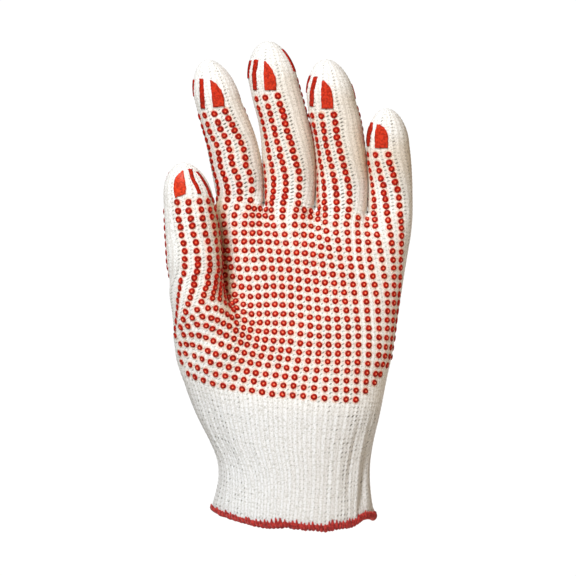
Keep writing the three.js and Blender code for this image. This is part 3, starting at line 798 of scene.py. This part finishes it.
def add(material, kind, settings=(), links=()):
    """A node with its settings {name or input: value} and its links {input: output socket}."""
    made = material.node_tree.nodes.new(kind)
    for key, value in dict(settings).items():
        if isinstance(key, str) and hasattr(made, key):
            setattr(made, key, value)
        else:
            made.inputs[key].default_value = value
    for key, socket in dict(links).items():
        material.node_tree.links.new(socket, made.inputs[key])
    return made


def new_material(name, hex_colour, roughness, **settings):
    """A material and its shader; the settings stand on the shader's own sockets."""
    made = bpy.data.materials.new(name)
    made.use_nodes = True
    shader = made.node_tree.nodes["Principled BSDF"]
    shader.inputs["Base Color"].default_value = linear(hex_colour)
    shader.inputs["Roughness"].default_value = roughness
    for key, value in settings.items():
        shader.inputs[key.replace("_", " ")].default_value = value
    made.diffuse_color = linear(hex_colour)
    print("material", name)
    return made, shader


def uneven_tone(material, scale, low, high, dark, light):
    """Noise at a scale per metre between two colours: the noise, its spread and the tone."""
    place = add(material, "ShaderNodeTexCoord")
    noise = add(material, "ShaderNodeTexNoise", {"Scale": scale, "Detail": 2.0},
                {"Vector": place.outputs["Object"]})
    spread = add(material, "ShaderNodeMapRange", {"From Min": low, "From Max": high},
                 {0: noise.outputs[0]})
    tone = add(material, "ShaderNodeMix", {"data_type": "RGBA", 6: linear(dark), 7: linear(light)},
               {0: spread.outputs[0]})
    return noise.outputs[0], spread.outputs[0], tone.outputs[2]


def finish_with(material, shader, colour, height, strength):
    """Colour and a fine bump of a third of a millimetre, into the shader."""
    bump = add(material, "ShaderNodeBump", {"Strength": strength, "Distance": 0.0003},
               {"Height": height})
    material.node_tree.links.new(colour, shader.inputs["Base Color"])
    material.node_tree.links.new(bump.outputs[0], shader.inputs["Normal"])


# %% [markdown]
# ### Cotton knit
# Bleached cotton yarn, plain knitted. It is matt, with a soft sheen from loose fibres. Between the
# legs of two stitches the eye sees into a small hole; its darkness is painted shade in the colour.

# %% Cotton knit
cotton, cotton_shader = new_material("cotton_knit", "#FBF9F5", 0.92, Sheen_Weight=0.15,
                                     Sheen_Roughness=0.6, Specular_IOR_Level=0.2)
place = add(cotton, "ShaderNodeUVMap", {"uv_map": "stitches"})
split = add(cotton, "ShaderNodeSeparateXYZ", links={0: place.outputs[0]})
gapes = add(cotton, "ShaderNodeAttribute", {"attribute_name": "gape"})


def from_whole(socket, shift):
    """How far a stitch coordinate is from the nearest whole number, after a shift."""
    moved = add(cotton, "ShaderNodeMath", {"operation": "ADD", 1: 0.5 + shift}, {0: socket})
    part = add(cotton, "ShaderNodeMath", {"operation": "FRACT"}, {0: moved.outputs[0]})
    off = add(cotton, "ShaderNodeMath", {"operation": "SUBTRACT", 1: 0.5}, {0: part.outputs[0]})
    return off.outputs[0]


# %% [markdown]
# The stitch coordinates count wales and courses, so their fractions tell where in its stitch a point
# lies. The painted shade of the hole is drawn from them, and its width and darkness from how far the
# stitch gapes.

# %% The painted shade of the hole in each stitch
# It is a slanting oval: narrow across the wale, flatter along it
across = from_whole(split.outputs["X"], 0)
down = from_whole(split.outputs["Y"], 0.15)
slant = add(cotton, "ShaderNodeMath", {"operation": "MULTIPLY_ADD", 1: 0.6}, {0: across, 2: down})
wide = add(cotton, "ShaderNodeMath", {"operation": "MULTIPLY", 1: 3.3}, {0: across})
tall = add(cotton, "ShaderNodeMath", {"operation": "MULTIPLY", 1: 4.9}, {0: slant.outputs[0]})
wide2 = add(cotton, "ShaderNodeMath", {"operation": "POWER", 1: 2.0}, {0: wide.outputs[0]})
round_off = add(cotton, "ShaderNodeMath", {"operation": "MULTIPLY_ADD"},
                {0: tall.outputs[0], 1: tall.outputs[0], 2: wide2.outputs[0]})
# A stitch that gapes more gets a wider and darker painted shade in its hole
rim = add(cotton, "ShaderNodeMath", {"operation": "MULTIPLY_ADD", 1: 1.25, 2: 0.35},
          {0: gapes.outputs["Fac"]})
hole = add(cotton, "ShaderNodeMapRange", {"From Max": 0.0, "interpolation_type": "SMOOTHSTEP"},
           {0: round_off.outputs[0], 1: rim.outputs[0]})
shade = add(cotton, "ShaderNodeMath", {"operation": "MULTIPLY", "use_clamp": True},
            {0: hole.outputs[0], 1: gapes.outputs["Fac"]})
print("nodes of the cotton so far", len(cotton.node_tree.nodes))

# %% Yarn, its painted shade and the painted red light
# Slubs of the yarn, about 0.8 mm apart
_, slubs, yarn_tone = uneven_tone(cotton, 1300.0, 0.32, 0.56, "#D6D3CC", "#FFFEFD")
# Between two wales the legs of the stitches meet in a shallow groove, painted darker: painted shade
off_groove = add(cotton, "ShaderNodeMath", {"operation": "ABSOLUTE"}, {0: across})
groove = add(cotton, "ShaderNodeMapRange", {"From Max": 0.3, "To Min": 0.5, "To Max": 0.0},
             {0: off_groove.outputs[0]})
groove_shade = add(cotton, "ShaderNodeMath", {"operation": "MULTIPLY"}, {0: groove.outputs[0], 1: slubs})
grooved = add(cotton, "ShaderNodeMix", {"data_type": "RGBA", 7: linear("#CCC5B9")},
              {0: groove_shade.outputs[0], 6: yarn_tone})
# Painted shade of the holes, in dark grey-brown
hole_shaded = add(cotton, "ShaderNodeMix", {"data_type": "RGBA", 7: linear("#5E5A50")},
            {0: shade.outputs[0], 6: grooved.outputs[2]})
cloth_tone = hole_shaded.outputs[2]
# Multiplied in: painted shade in warm beige, a cooler grey for the cuff, and painted red light round
# dots
for noted, colour in (("painted_shade", "#DDC4A0"), ("elastic", "#ECEDEF"), ("painted_red_glow", "#FFD8C6")):
    amount = add(cotton, "ShaderNodeAttribute", {"attribute_name": noted})
    multiplied = add(cotton, "ShaderNodeMix",
                  {"data_type": "RGBA", "blend_type": "MULTIPLY", 7: linear(colour)},
                  {0: amount.outputs["Fac"], 6: cloth_tone})
    cloth_tone = multiplied.outputs[2]
yarn_place = add(cotton, "ShaderNodeTexCoord")
fibre = add(cotton, "ShaderNodeTexNoise", {"Scale": 1500.0, "Detail": 3.0},
            {"Vector": yarn_place.outputs["Object"]})
finish_with(cotton, cotton_shader, cloth_tone, fibre.outputs[0], 0.45)
print("nodes of the cotton", len(cotton.node_tree.nodes))

# %% [markdown]
# ### Printed vinyl
# The dots are plastisol: liquid vinyl printed on the cloth and cured by heat. Surface tension draws
# each dot into a smooth glossy dome. Its colour has a painted highlight, lighter towards the top.

# %% Printed vinyl
vinyl, vinyl_shader = new_material("plastisol_print", "#B5160B", 0.44, Coat_Weight=0.04,
                                   Coat_Roughness=0.25, Specular_IOR_Level=0.12)
mottle, spread, vinyl_tone = uneven_tone(vinyl, 950.0, 0.4, 0.6, "#830C04", "#B11606")
# Painted highlight: the top of each dome, and each print patch by its tone, painted a lighter
# orange-red
painted_highlight = add(vinyl, "ShaderNodeAttribute", {"attribute_name": "painted_highlight"})
lift = add(vinyl, "ShaderNodeMapRange", {"From Min": 0.84, "From Max": 1.0, "To Max": 0.95},
           {0: painted_highlight.outputs["Fac"]})
blotch = add(vinyl, "ShaderNodeMapRange", {"To Min": 0.6, "To Max": 1.25}, {0: spread})
lifted = add(vinyl, "ShaderNodeMath", {"operation": "MULTIPLY", "use_clamp": True},
             {0: lift.outputs[0], 1: blotch.outputs[0]})
highlighted = add(vinyl, "ShaderNodeMix", {"data_type": "RGBA", 7: linear("#F4502D")},
              {0: lifted.outputs[0], 6: vinyl_tone})
# A small pale pink painted highlight at the very top of each dome
glint_ramp = add(vinyl, "ShaderNodeMapRange", {"From Min": 0.94, "From Max": 1.0, "To Max": 0.9},
           {0: painted_highlight.outputs["Fac"]})
domed = add(vinyl, "ShaderNodeMix", {"data_type": "RGBA", 7: linear("#FFA98C")},
            {0: glint_ramp.outputs[0], 6: highlighted.outputs[2]})
finish_with(vinyl, vinyl_shader, domed.outputs[2], mottle, 0.3)

# %% [markdown]
# ### Overlock thread
# The hem is spun polyester thread in crimson, twisted and matt.

# %% Overlock thread
thread, thread_shader = new_material("overlock_thread", "#B0211D", 0.75, Sheen_Weight=0.2,
                                     Specular_IOR_Level=0.3)
twist, _, thread_tone = uneven_tone(thread, 900.0, 0.35, 0.65, "#85100E", "#C6362F")
finish_with(thread, thread_shader, thread_tone, twist, 0.4)


# %% [markdown]
# ## The pieces of the knit
# The skin is parted into the tubes of the frame, so that each stands for its own solid. The inner face
# of the cloth is one piece, a little more than two millimetres in, as in the seamless glove.

# %% Part the skin
def dress(piece, material, slot, *nodes):
    piece.data.materials.clear()
    piece.data.materials.append(material)
    for polygon in piece.data.polygons:
        polygon.material_index = 0
    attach(piece, "root")
    if nodes:
        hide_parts(*nodes)
    print(piece.name, len(piece.data.polygons), "faces")
    return piece


def part_of_skin(name, part):
    bm = bmesh.new()
    bm.from_mesh(skin.data)
    layer = bm.faces.layers.int["part"]
    bmesh.ops.delete(bm, geom=[f for f in bm.faces if f[layer] != part], context="FACES")
    piece = mesh_object(name, bm)
    bm.free()
    for polygon in piece.data.polygons:
        polygon.use_smooth = True
    return piece


for number, name in enumerate(PARTS[:5]):
    node = name if name == "thumb" else f"{name}_finger"
    dress(part_of_skin(f"knit_{name}", number), cotton, "knit", node)
dress(part_of_skin("knit_palm", 5), cotton, "knit", "palm")
dress(part_of_skin("knit_cuff", 6), cotton, "rib_knit", "rib_cuff")
dress(lining, cotton, "knit")

# %% [markdown]
# ## Grip dots
# One dome is turned from a sphere, and copied to each place where the print has a dot.

# %% One dot
DOT_RADIUS, DOT_HEIGHT = 1.5, 0.55
dot_bm = bmesh.new()
highlight_layer = dot_bm.verts.layers.float.new("painted_highlight")
bmesh.ops.create_uvsphere(dot_bm, u_segments=12, v_segments=8, radius=1)
bmesh.ops.bisect_plane(
    dot_bm, geom=dot_bm.verts[:] + dot_bm.edges[:] + dot_bm.faces[:], plane_co=(0, 0, -0.6),
    plane_no=(0, 0, -1), clear_outer=True,
)
bmesh.ops.holes_fill(dot_bm, edges=[e for e in dot_bm.edges if e.is_boundary], sides=0)
# The height on the dome, which sets how much painted highlight it gets
for vert in dot_bm.verts:
    vert[highlight_layer] = max(0.0, vert.co.z)
bmesh.ops.scale(dot_bm, vec=(DOT_RADIUS * MM, DOT_RADIUS * MM, DOT_HEIGHT * MM), verts=dot_bm.verts)
dot_mesh = bpy.data.meshes.new("dot")
dot_bm.to_mesh(dot_mesh)
dot_shape = values_of(dot_mesh.vertices, "co", 3)
print("faces of a dot", len(dot_bm.faces))

# %% Set the dots
DOT_RISE = 0.06
random.seed(11)


def uneven_dot():
    """The dot with its rim drawn out this way and that, as the print never sets quite round."""
    turn = np.arctan2(dot_shape[:, 1], dot_shape[:, 0])
    a, b = random.uniform(0, math.tau), random.uniform(0, math.tau)
    oval, corners = random.uniform(0.01, 0.07), random.uniform(0, 0.06)
    rim = 1 + oval * np.cos(2 * turn + a) + corners * np.cos(3 * turn + b)
    shaped = dot_shape * np.stack([rim, rim, np.full_like(rim, random.uniform(0.88, 1.12))], 1)
    return shaped * random.uniform(0.95, 1.05)


def set_dots(name, found, radius, astray, highlight_scale):
    """A joined mesh of dots, each up to a few tenths of a millimetre off its stitch."""
    bm = bmesh.new()
    for point, out in found:
        copy = dot_mesh.copy()
        copy.vertices.foreach_set("co", uneven_dot().ravel())
        place = Matrix.Translation(Vector(point) + Vector(out).normalized() * DOT_RISE * MM)
        turn = Vector(out).to_track_quat("Z", "Y").to_matrix().to_4x4()
        aside = Matrix.Translation((random.gauss(0, astray) * MM, random.gauss(0, astray) * MM, 0))
        grow = Matrix.Diagonal((radius / DOT_RADIUS, radius / DOT_RADIUS, 1, 1))
        copy.transform(place @ turn @ aside @ grow)
        bm.from_mesh(copy)
        bpy.data.meshes.remove(copy)
    highlight_of = bm.verts.layers.float["painted_highlight"]
    for vert in bm.verts:
        vert[highlight_of] *= highlight_scale  # a lower value gives less painted highlight at the top
    for face in bm.faces:
        face.smooth = True
    made = mesh_object(name, bm)
    bm.free()
    return made


for name, found in dots.items():  # on the digits the dots are a little wider, with a little less painted highlight at the top
    size, astray, highlight_scale = (1.6, 0.1, 1) if name in ("palm", "back") else (1.68, 0.17, 0.98)
    dress(set_dots(f"grip_dots_{name}", found, size, astray, highlight_scale), vinyl, "grip_print")

# %% [markdown]
# ## Bars and pads at the fingertips
# Near each tip the print has one pad with a curved edge and two bars, all flat on the knit.

# %% Fingertip print
PADS = {  # rows from the top down, in pixels: y, left edge, right edge
    "thumb": [(171.2, 183, 184.2), (174, 179.6, 184.4), (177.5, 176.6, 185), (183, 174.6, 185.8),
              (189.5, 174.6, 186.5), (196.5, 176, 186.5)],
    "index": [(81, 210.3, 211.6), (84.5, 210.8, 216.4), (90.5, 211.4, 221.3), (98, 212.3, 224),
              (107.7, 213.4, 224.6)],
    "middle": [(62, 264.1, 265.4), (65.5, 264.1, 268.8), (71, 264, 272.6), (79, 263.8, 276),
               (91, 264.7, 276.4)],
    "ring": [(81.4, 322, 324.2), (85, 321.6, 327.6), (89.5, 321.1, 330.7), (98, 321.2, 332.9),
             (109.4, 321.4, 333.1)],
    "little": [(124.8, 376.9, 379), (127.5, 376.2, 383.4), (131, 375.4, 386), (136, 374.7, 387.8),
               (148.6, 375.1, 387.6)],
}
BARS = {
    "thumb": [(169.3, 188.6, 192.4), (179.6, 191.3, 195), (185.8, 195, 198.6), (194.6, 198.4, 201.6)],
    "index": [(79.4, 199.8, 203.6), (95, 200.2, 204.4), (109.4, 201.4, 205.4)],
    "middle": [(60.3, 254.4, 258.4), (75, 252.4, 256), (90.7, 253.8, 257.2)],
    "ring": [(77.3, 313.7, 317.4), (85, 311.6, 315.4), (92, 310.3, 313.9), (107.2, 309.7, 313.5)],
    "little": [(122.6, 370.8, 372.6), (130.4, 368, 372), (137, 366.8, 370), (146.4, 366.9, 369.6)],
}
EDGE_BARS = {  # degrees from the front at the top and the bottom, width in degrees, y at both ends
    "thumb": (51, 66, 12, 172, 198), "index": (-78, -84, 12, 80, 97), "middle": (-71, -80, 13, 61, 79),
    "ring": (-70, -88, 12, 76, 93), "little": (-104, -98, 13, 127, 143),
}
FAR_BARS = {  # the edge bar of the back, which shows at the far side of a finger: the same numbers
    "thumb": (-112, -116, 12, 172, 197), "index": (112, 110, 12, 84, 100),
    "middle": (71, 74, 17, 49.5, 72), "ring": (93, 92, 12, 84, 99), "little": (114, 112, 13, 127, 143),
}
PAD_SLANT = {"thumb": -3.6, "index": -1.6}  # how far the lower edge rises to the right, in pixels
BACK_TURN = {"little": 0.25}  # the back print of the little finger sits further round, in radians
print("charted tips", list(PADS))

# %% [markdown]
# A patch starts as a flat grid. Its vertices move to the place of their pixel on the surface of the
# finger, a third of a millimetre up, and a solidify modifier gives the sheet its thickness. The cloth
# below it is knitted, so the edges come out slightly ragged.

# %% Patches on the surface
PRINT_RISE, PRINT_THICK = 0.34, 0.8
PAD_TONE, THUMB_PAD_TONE, BAR_TONE, EDGE_TONE = 0.9, 0.93, 0.865, 0.85  # painted lightness of each patch; the thumb pad lighter, as more lit
RAGGED_X, RAGGED_Y = 0.22, 0.3  # how far an edge strays, in pixels
RIPPLE = 0.07


def print_point(name, sine, cosine, z, rise):
    middle, y, half, deep = digit_section(name, z)
    return Vector((middle + (half + rise) * sine, y - (deep + rise) * cosine, z)) * MM


ragged = random.Random(8)


def patch_by_pixels(bm, tint, tone, name, rows, columns, side, slant=0.0):
    """A patch on the surface below the pixels; side -1 is the same print on the back."""
    made = bmesh.ops.create_grid(bm, x_segments=columns, y_segments=16, size=0.5)
    py, left, right = (list(c) for c in zip(*rows))
    for vert in made["verts"]:
        at = py[-1] + (py[0] - py[-1]) * (vert.co.y + 0.5)
        low, high = np.interp(at, py, left), np.interp(at, py, right)
        px = low + (high - low) * (vert.co.x + 0.5)
        at += slant * vert.co.x * (0.5 - vert.co.y)
        if vert.is_boundary:
            px += ragged.uniform(-RAGGED_X, RAGGED_X)
            at += ragged.uniform(-RAGGED_Y, RAGGED_Y)
        z = (ORIGIN_Y - at) * PIXEL
        middle, _, half, _ = digit_section(name, z)
        sine = min(max(((px - ORIGIN_X) * PIXEL - middle) / half, -0.999), 0.999)
        a = math.asin(sine) + (0 if side == 1 else math.pi + BACK_TURN.get(name, 0))
        ripple = RIPPLE * math.sin(px * 1.65 + at * 0.4) * math.sin(at * 1.8)
        vert.co = print_point(name, math.sin(a), math.cos(a), z, PRINT_RISE + ripple)
        vert[tint] = tone


def patch_by_angle(bm, tint, name, top_angle, low_angle, wide, top_y, low_y):
    made = bmesh.ops.create_grid(bm, x_segments=3, y_segments=14, size=0.5)
    for vert in made["verts"]:
        up = vert.co.y + 0.5
        a = math.radians(low_angle + (top_angle - low_angle) * up + wide * vert.co.x)
        z = (ORIGIN_Y - low_y - (top_y - low_y) * up) * PIXEL
        vert.co = print_point(name, math.sin(a), math.cos(a), z, PRINT_RISE)
        vert[tint] = EDGE_TONE


print("tones", PAD_TONE, THUMB_PAD_TONE, BAR_TONE, EDGE_TONE)

# %% The print of each tip
def tip_print(name):
    """Pads and bars of one digit on both sides, as one piece, with their faces outwards."""
    bm = bmesh.new()
    tint = bm.verts.layers.float.new("painted_highlight")
    for side in (1, -1):
        pad_tone = THUMB_PAD_TONE if name == "thumb" else PAD_TONE
        patch_by_pixels(bm, tint, pad_tone, name, PADS[name], 8, side, PAD_SLANT.get(name, 0.0))
        patch_by_pixels(bm, tint, BAR_TONE, name, BARS[name], 3, side)
    patch_by_angle(bm, tint, name, *EDGE_BARS[name])
    patch_by_angle(bm, tint, name, *FAR_BARS[name])
    z = (ORIGIN_Y - PADS[name][-1][0]) * PIXEL
    middle, y, _, _ = digit_section(name, z)
    centre = Vector((middle, y, z)) * MM
    bmesh.ops.recalc_face_normals(bm, faces=bm.faces)
    flip = [f for f in bm.faces if f.normal.dot(f.calc_center_median() - centre) < 0]
    bmesh.ops.reverse_faces(bm, faces=flip)
    for face in bm.faces:
        face.smooth = True
    made = mesh_object(f"tip_print_{name}", bm)
    wall = made.modifiers.new("thickness", "SOLIDIFY")
    wall.thickness = PRINT_THICK * MM
    wall.offset = -1
    nodes = [f"{name}_{side}{shape}" for side in ("", "back_") for shape in ("pad", "bar", "edge_bar")]
    return dress(made, vinyl, "grip_print", *nodes)


for name in PADS:
    tip_print(name)

# %% [markdown]
# ## The overlocked hem
# Crimson thread is whipped over the raw edge of the cuff: a round cord of slanting stitches.

# %% Hem
HEM_STITCHES = 124
HEM_LINE = [  # x, top and bottom of the hem along the front, in pixels
    (211, 505.5, 509.5), (220, 509.5, 515), (230, 512.5, 518.5), (240, 515.5, 521.5), (250, 518, 524),
    (258, 519.5, 526.3), (267, 520, 527.6), (277, 519, 527.3), (286, 519.3, 526.6), (296, 520.8, 528.3),
    (306, 522.5, 529.5), (315, 523, 529.6), (324, 523.3, 531), (334, 520.7, 529.3), (345, 520, 527.5),
    (354, 518.3, 526.3), (360, 515, 521.8), (366, 511.5, 518.5), (371, 512, 518), (377, 515.2, 520.6),
]
HEM_X, HEM_TOP, HEM_LOW = (np.array(c) for c in zip(*HEM_LINE))
HEM_X = (HEM_X - ORIGIN_X) * PIXEL
HEM_TOP, HEM_LOW = ((ORIGIN_Y - row) * PIXEL for row in (HEM_TOP, HEM_LOW))
BACK_LIFT, BACK_BAND = 6.2, 3.4  # the back's hem: how high it hangs, and how deep it is


def hem_point(a, inward, z):
    """A point of the rim: angle from the left by way of the front, distance inward, height."""
    _, left, right, y, depth, square = HAND[0]
    across = math.cos(a)
    forward = (1 - abs(across) ** square) ** (1 / square) * math.copysign(1, math.sin(a))
    return Vector(((left + right) / 2 - ((right - left) / 2 - inward) * across,
                   y - (depth / 2 - inward) * forward, z)) * MM


def hem_heights(a):
    """The bottom and the top of the hem at an angle. The back hangs a little higher than the front."""
    x = hem_point(a, 0, 0).x / MM
    low, top = np.interp(x, HEM_X, HEM_LOW), np.interp(x, HEM_X, HEM_TOP)
    behind = smoothstep(-math.sin(a), 0, 0.9)
    lift = BACK_LIFT + 0.5 * math.sin(9 * a) + 0.3 * math.sin(17 * a + 1)
    return low + (lift - low) * behind * 0.75, top + 0.35 + (lift + BACK_BAND - top) * behind * 0.75


print("hem at the front", [round(float(z), 1) for z in hem_heights(math.pi / 2)])

# %% The cord of the hem
CORD_HALF = 1.25  # half as thick as the cloth with the thread round it
hem_bm = bmesh.new()
rim = bmesh.ops.create_grid(hem_bm, x_segments=360, y_segments=12, size=0.5)
for vert in rim["verts"]:
    a, turn = (vert.co.x + 0.5) * math.tau, (vert.co.y + 0.5) * math.tau
    low, top = hem_heights(a)
    half = (top - low) / 2 - 0.35
    inward = 1.0 - CORD_HALF * math.cos(turn)
    vert.co = hem_point(a, inward, (low + top) / 2 + half * math.sin(turn))
print("vertices of the cord", len(hem_bm.verts))

# %% The stitches of the hem
CUFF_RADIUS = 37
THREAD_HALF = 0.42  # half the thickness of a strand for each millimetre of width: it lies a little flat
luck = random.Random(5)


def strand(bm, a, lean, reach, thick):
    """One stitch: thread from the face of the cloth, under its edge, to the inside."""
    grid = bmesh.ops.create_grid(bm, x_segments=9, y_segments=6, size=0.5)
    low, top = hem_heights(a)
    for vert in grid["verts"]:
        share, turn = vert.co.x + 0.5, (vert.co.y + 0.5) * math.tau
        end = min(1, 5 * min(share, 1 - share) + 0.3)
        side = a + (lean * (share - 0.3) + thick * 0.5 * math.sin(turn) * end) / CUFF_RADIUS
        bow = math.sin(math.pi * share)
        face = math.cos(math.pi * share)
        inward = 1.0 - (1.5 + thick * THREAD_HALF * math.cos(turn) * end) * face
        height = top + reach * max(0.0, 1 - 2.2 * share) - 0.2 - (top - low - 0.55) * bow**0.7
        height -= thick * THREAD_HALF * math.cos(turn) * bow * end
        vert.co = hem_point(side, inward, height)


for k in range(HEM_STITCHES):
    a = (k + luck.uniform(-0.2, 0.2)) / HEM_STITCHES * math.tau
    strand(hem_bm, a, 1.5, luck.choice((-0.3, 0.1, 0.4, 0.7, 1.1)), luck.uniform(1.6, 2.2))
bmesh.ops.remove_doubles(hem_bm, verts=hem_bm.verts, dist=2e-6)
bmesh.ops.recalc_face_normals(hem_bm, faces=hem_bm.faces)
for face in hem_bm.faces:
    face.smooth = True
hem = mesh_object("overlock_hem", hem_bm)
dress(hem, thread, "hem_thread", "hem_binding")
bpy.data.objects.remove(skin)

# %% [markdown]
# ## Studio
# A plain pale floor, one large soft lamp from the upper left, a weaker warm one from the right and one
# from behind, so that the back is lit too. The floor and the wall look the same in every view.

# %% Floor
FLOOR_Z = -0.3


def show_plain(holder, lit, plain, output):
    """Stage only: light falls as on the first shader, and the picture shows the second, plain one."""
    seen = add(holder, "ShaderNodeLightPath")
    either = add(holder, "ShaderNodeMixShader", links={
        0: seen.outputs["Is Camera Ray"], 1: lit.outputs[0], 2: plain.outputs[0]})
    holder.node_tree.links.new(either.outputs[0], holder.node_tree.nodes[output].inputs[0])


stage_bm = bmesh.new()
bmesh.ops.create_grid(stage_bm, x_segments=1, y_segments=1, size=3)
bmesh.ops.translate(stage_bm, vec=(0, 0, FLOOR_Z), verts=stage_bm.verts)
floor = mesh_object("floor", stage_bm)
paper, paper_shader = new_material("pale_paper", "#FFFFFF", 0.9)
show_plain(paper, paper_shader, add(paper, "ShaderNodeEmission", {"Color": linear("#D9D6D0")}),
           "Material Output")
floor.data.materials.append(paper)
print("floor", round(abs(FLOOR_Z) * 1000), "mm under the cuff")

# %% Lamps
CENTRE = (-0.0035, 0, 0.1175)  # the middle of the glove


def soft_light(name, place, size, power, colour):
    data = bpy.data.lights.new(name, "AREA")
    data.shape = "DISK"
    data.size = size
    data.energy = power
    data.color = colour
    made = bpy.data.objects.new(name, data)
    made.location = place
    made.rotation_euler = (Vector(CENTRE) - Vector(place)).to_track_quat("-Z", "Y").to_euler()
    bpy.context.scene.collection.objects.link(made)


soft_light("key", (-0.4, -1.0, 1.0), 0.4, 21.2, (0.94, 0.97, 1))
soft_light("fill", (1.2, -0.7, 0.3), 1.2, 3.0, (1, 0.69, 0.4))
soft_light("back", (0.1, 1.25, 0.95), 0.8, 6, (1, 0.98, 0.95))
print("lamps", [light.name for light in bpy.data.lights])

# %% The light around
world = bpy.data.worlds.new("studio")
world.use_nodes = True
glow = world.node_tree.nodes["Background"]
glow.inputs["Color"].default_value = (1, 0.83, 0.54, 1)
glow.inputs["Strength"].default_value = 0.14
wall = add(world, "ShaderNodeBackground", {"Color": (1, 1, 1, 1), "Strength": 1.05})
show_plain(world, glow, wall, "World Output")
bpy.context.scene.world = world
bpy.context.scene.view_settings.view_transform = "Standard"
print("world", world.name, "with", len(world.node_tree.nodes), "nodes")

# %% [markdown]
# ## Camera
# The photograph shows the glove straight from the front, and from far off: the thumb's side and the
# little finger's are seen alike. So a long lens looks along +Y from six metres away.

# %% Camera
DISTANCE, SENSOR, PICTURE = 6.0, 36, 576  # metres, millimetres and pixels
camera_data = bpy.data.cameras.new("camera")
camera = bpy.data.objects.new("camera", camera_data)
bpy.context.scene.collection.objects.link(camera)
camera.location = (CENTRE[0], -DISTANCE, CENTRE[2])
camera.rotation_euler = (math.pi / 2, 0, 0)
camera_data.lens = SENSOR * DISTANCE / (PICTURE * PIXEL * MM)
camera_data.sensor_width = SENSOR
camera_data.clip_end = 20
bpy.context.scene.camera = camera
print("lens", round(camera_data.lens), "mm")
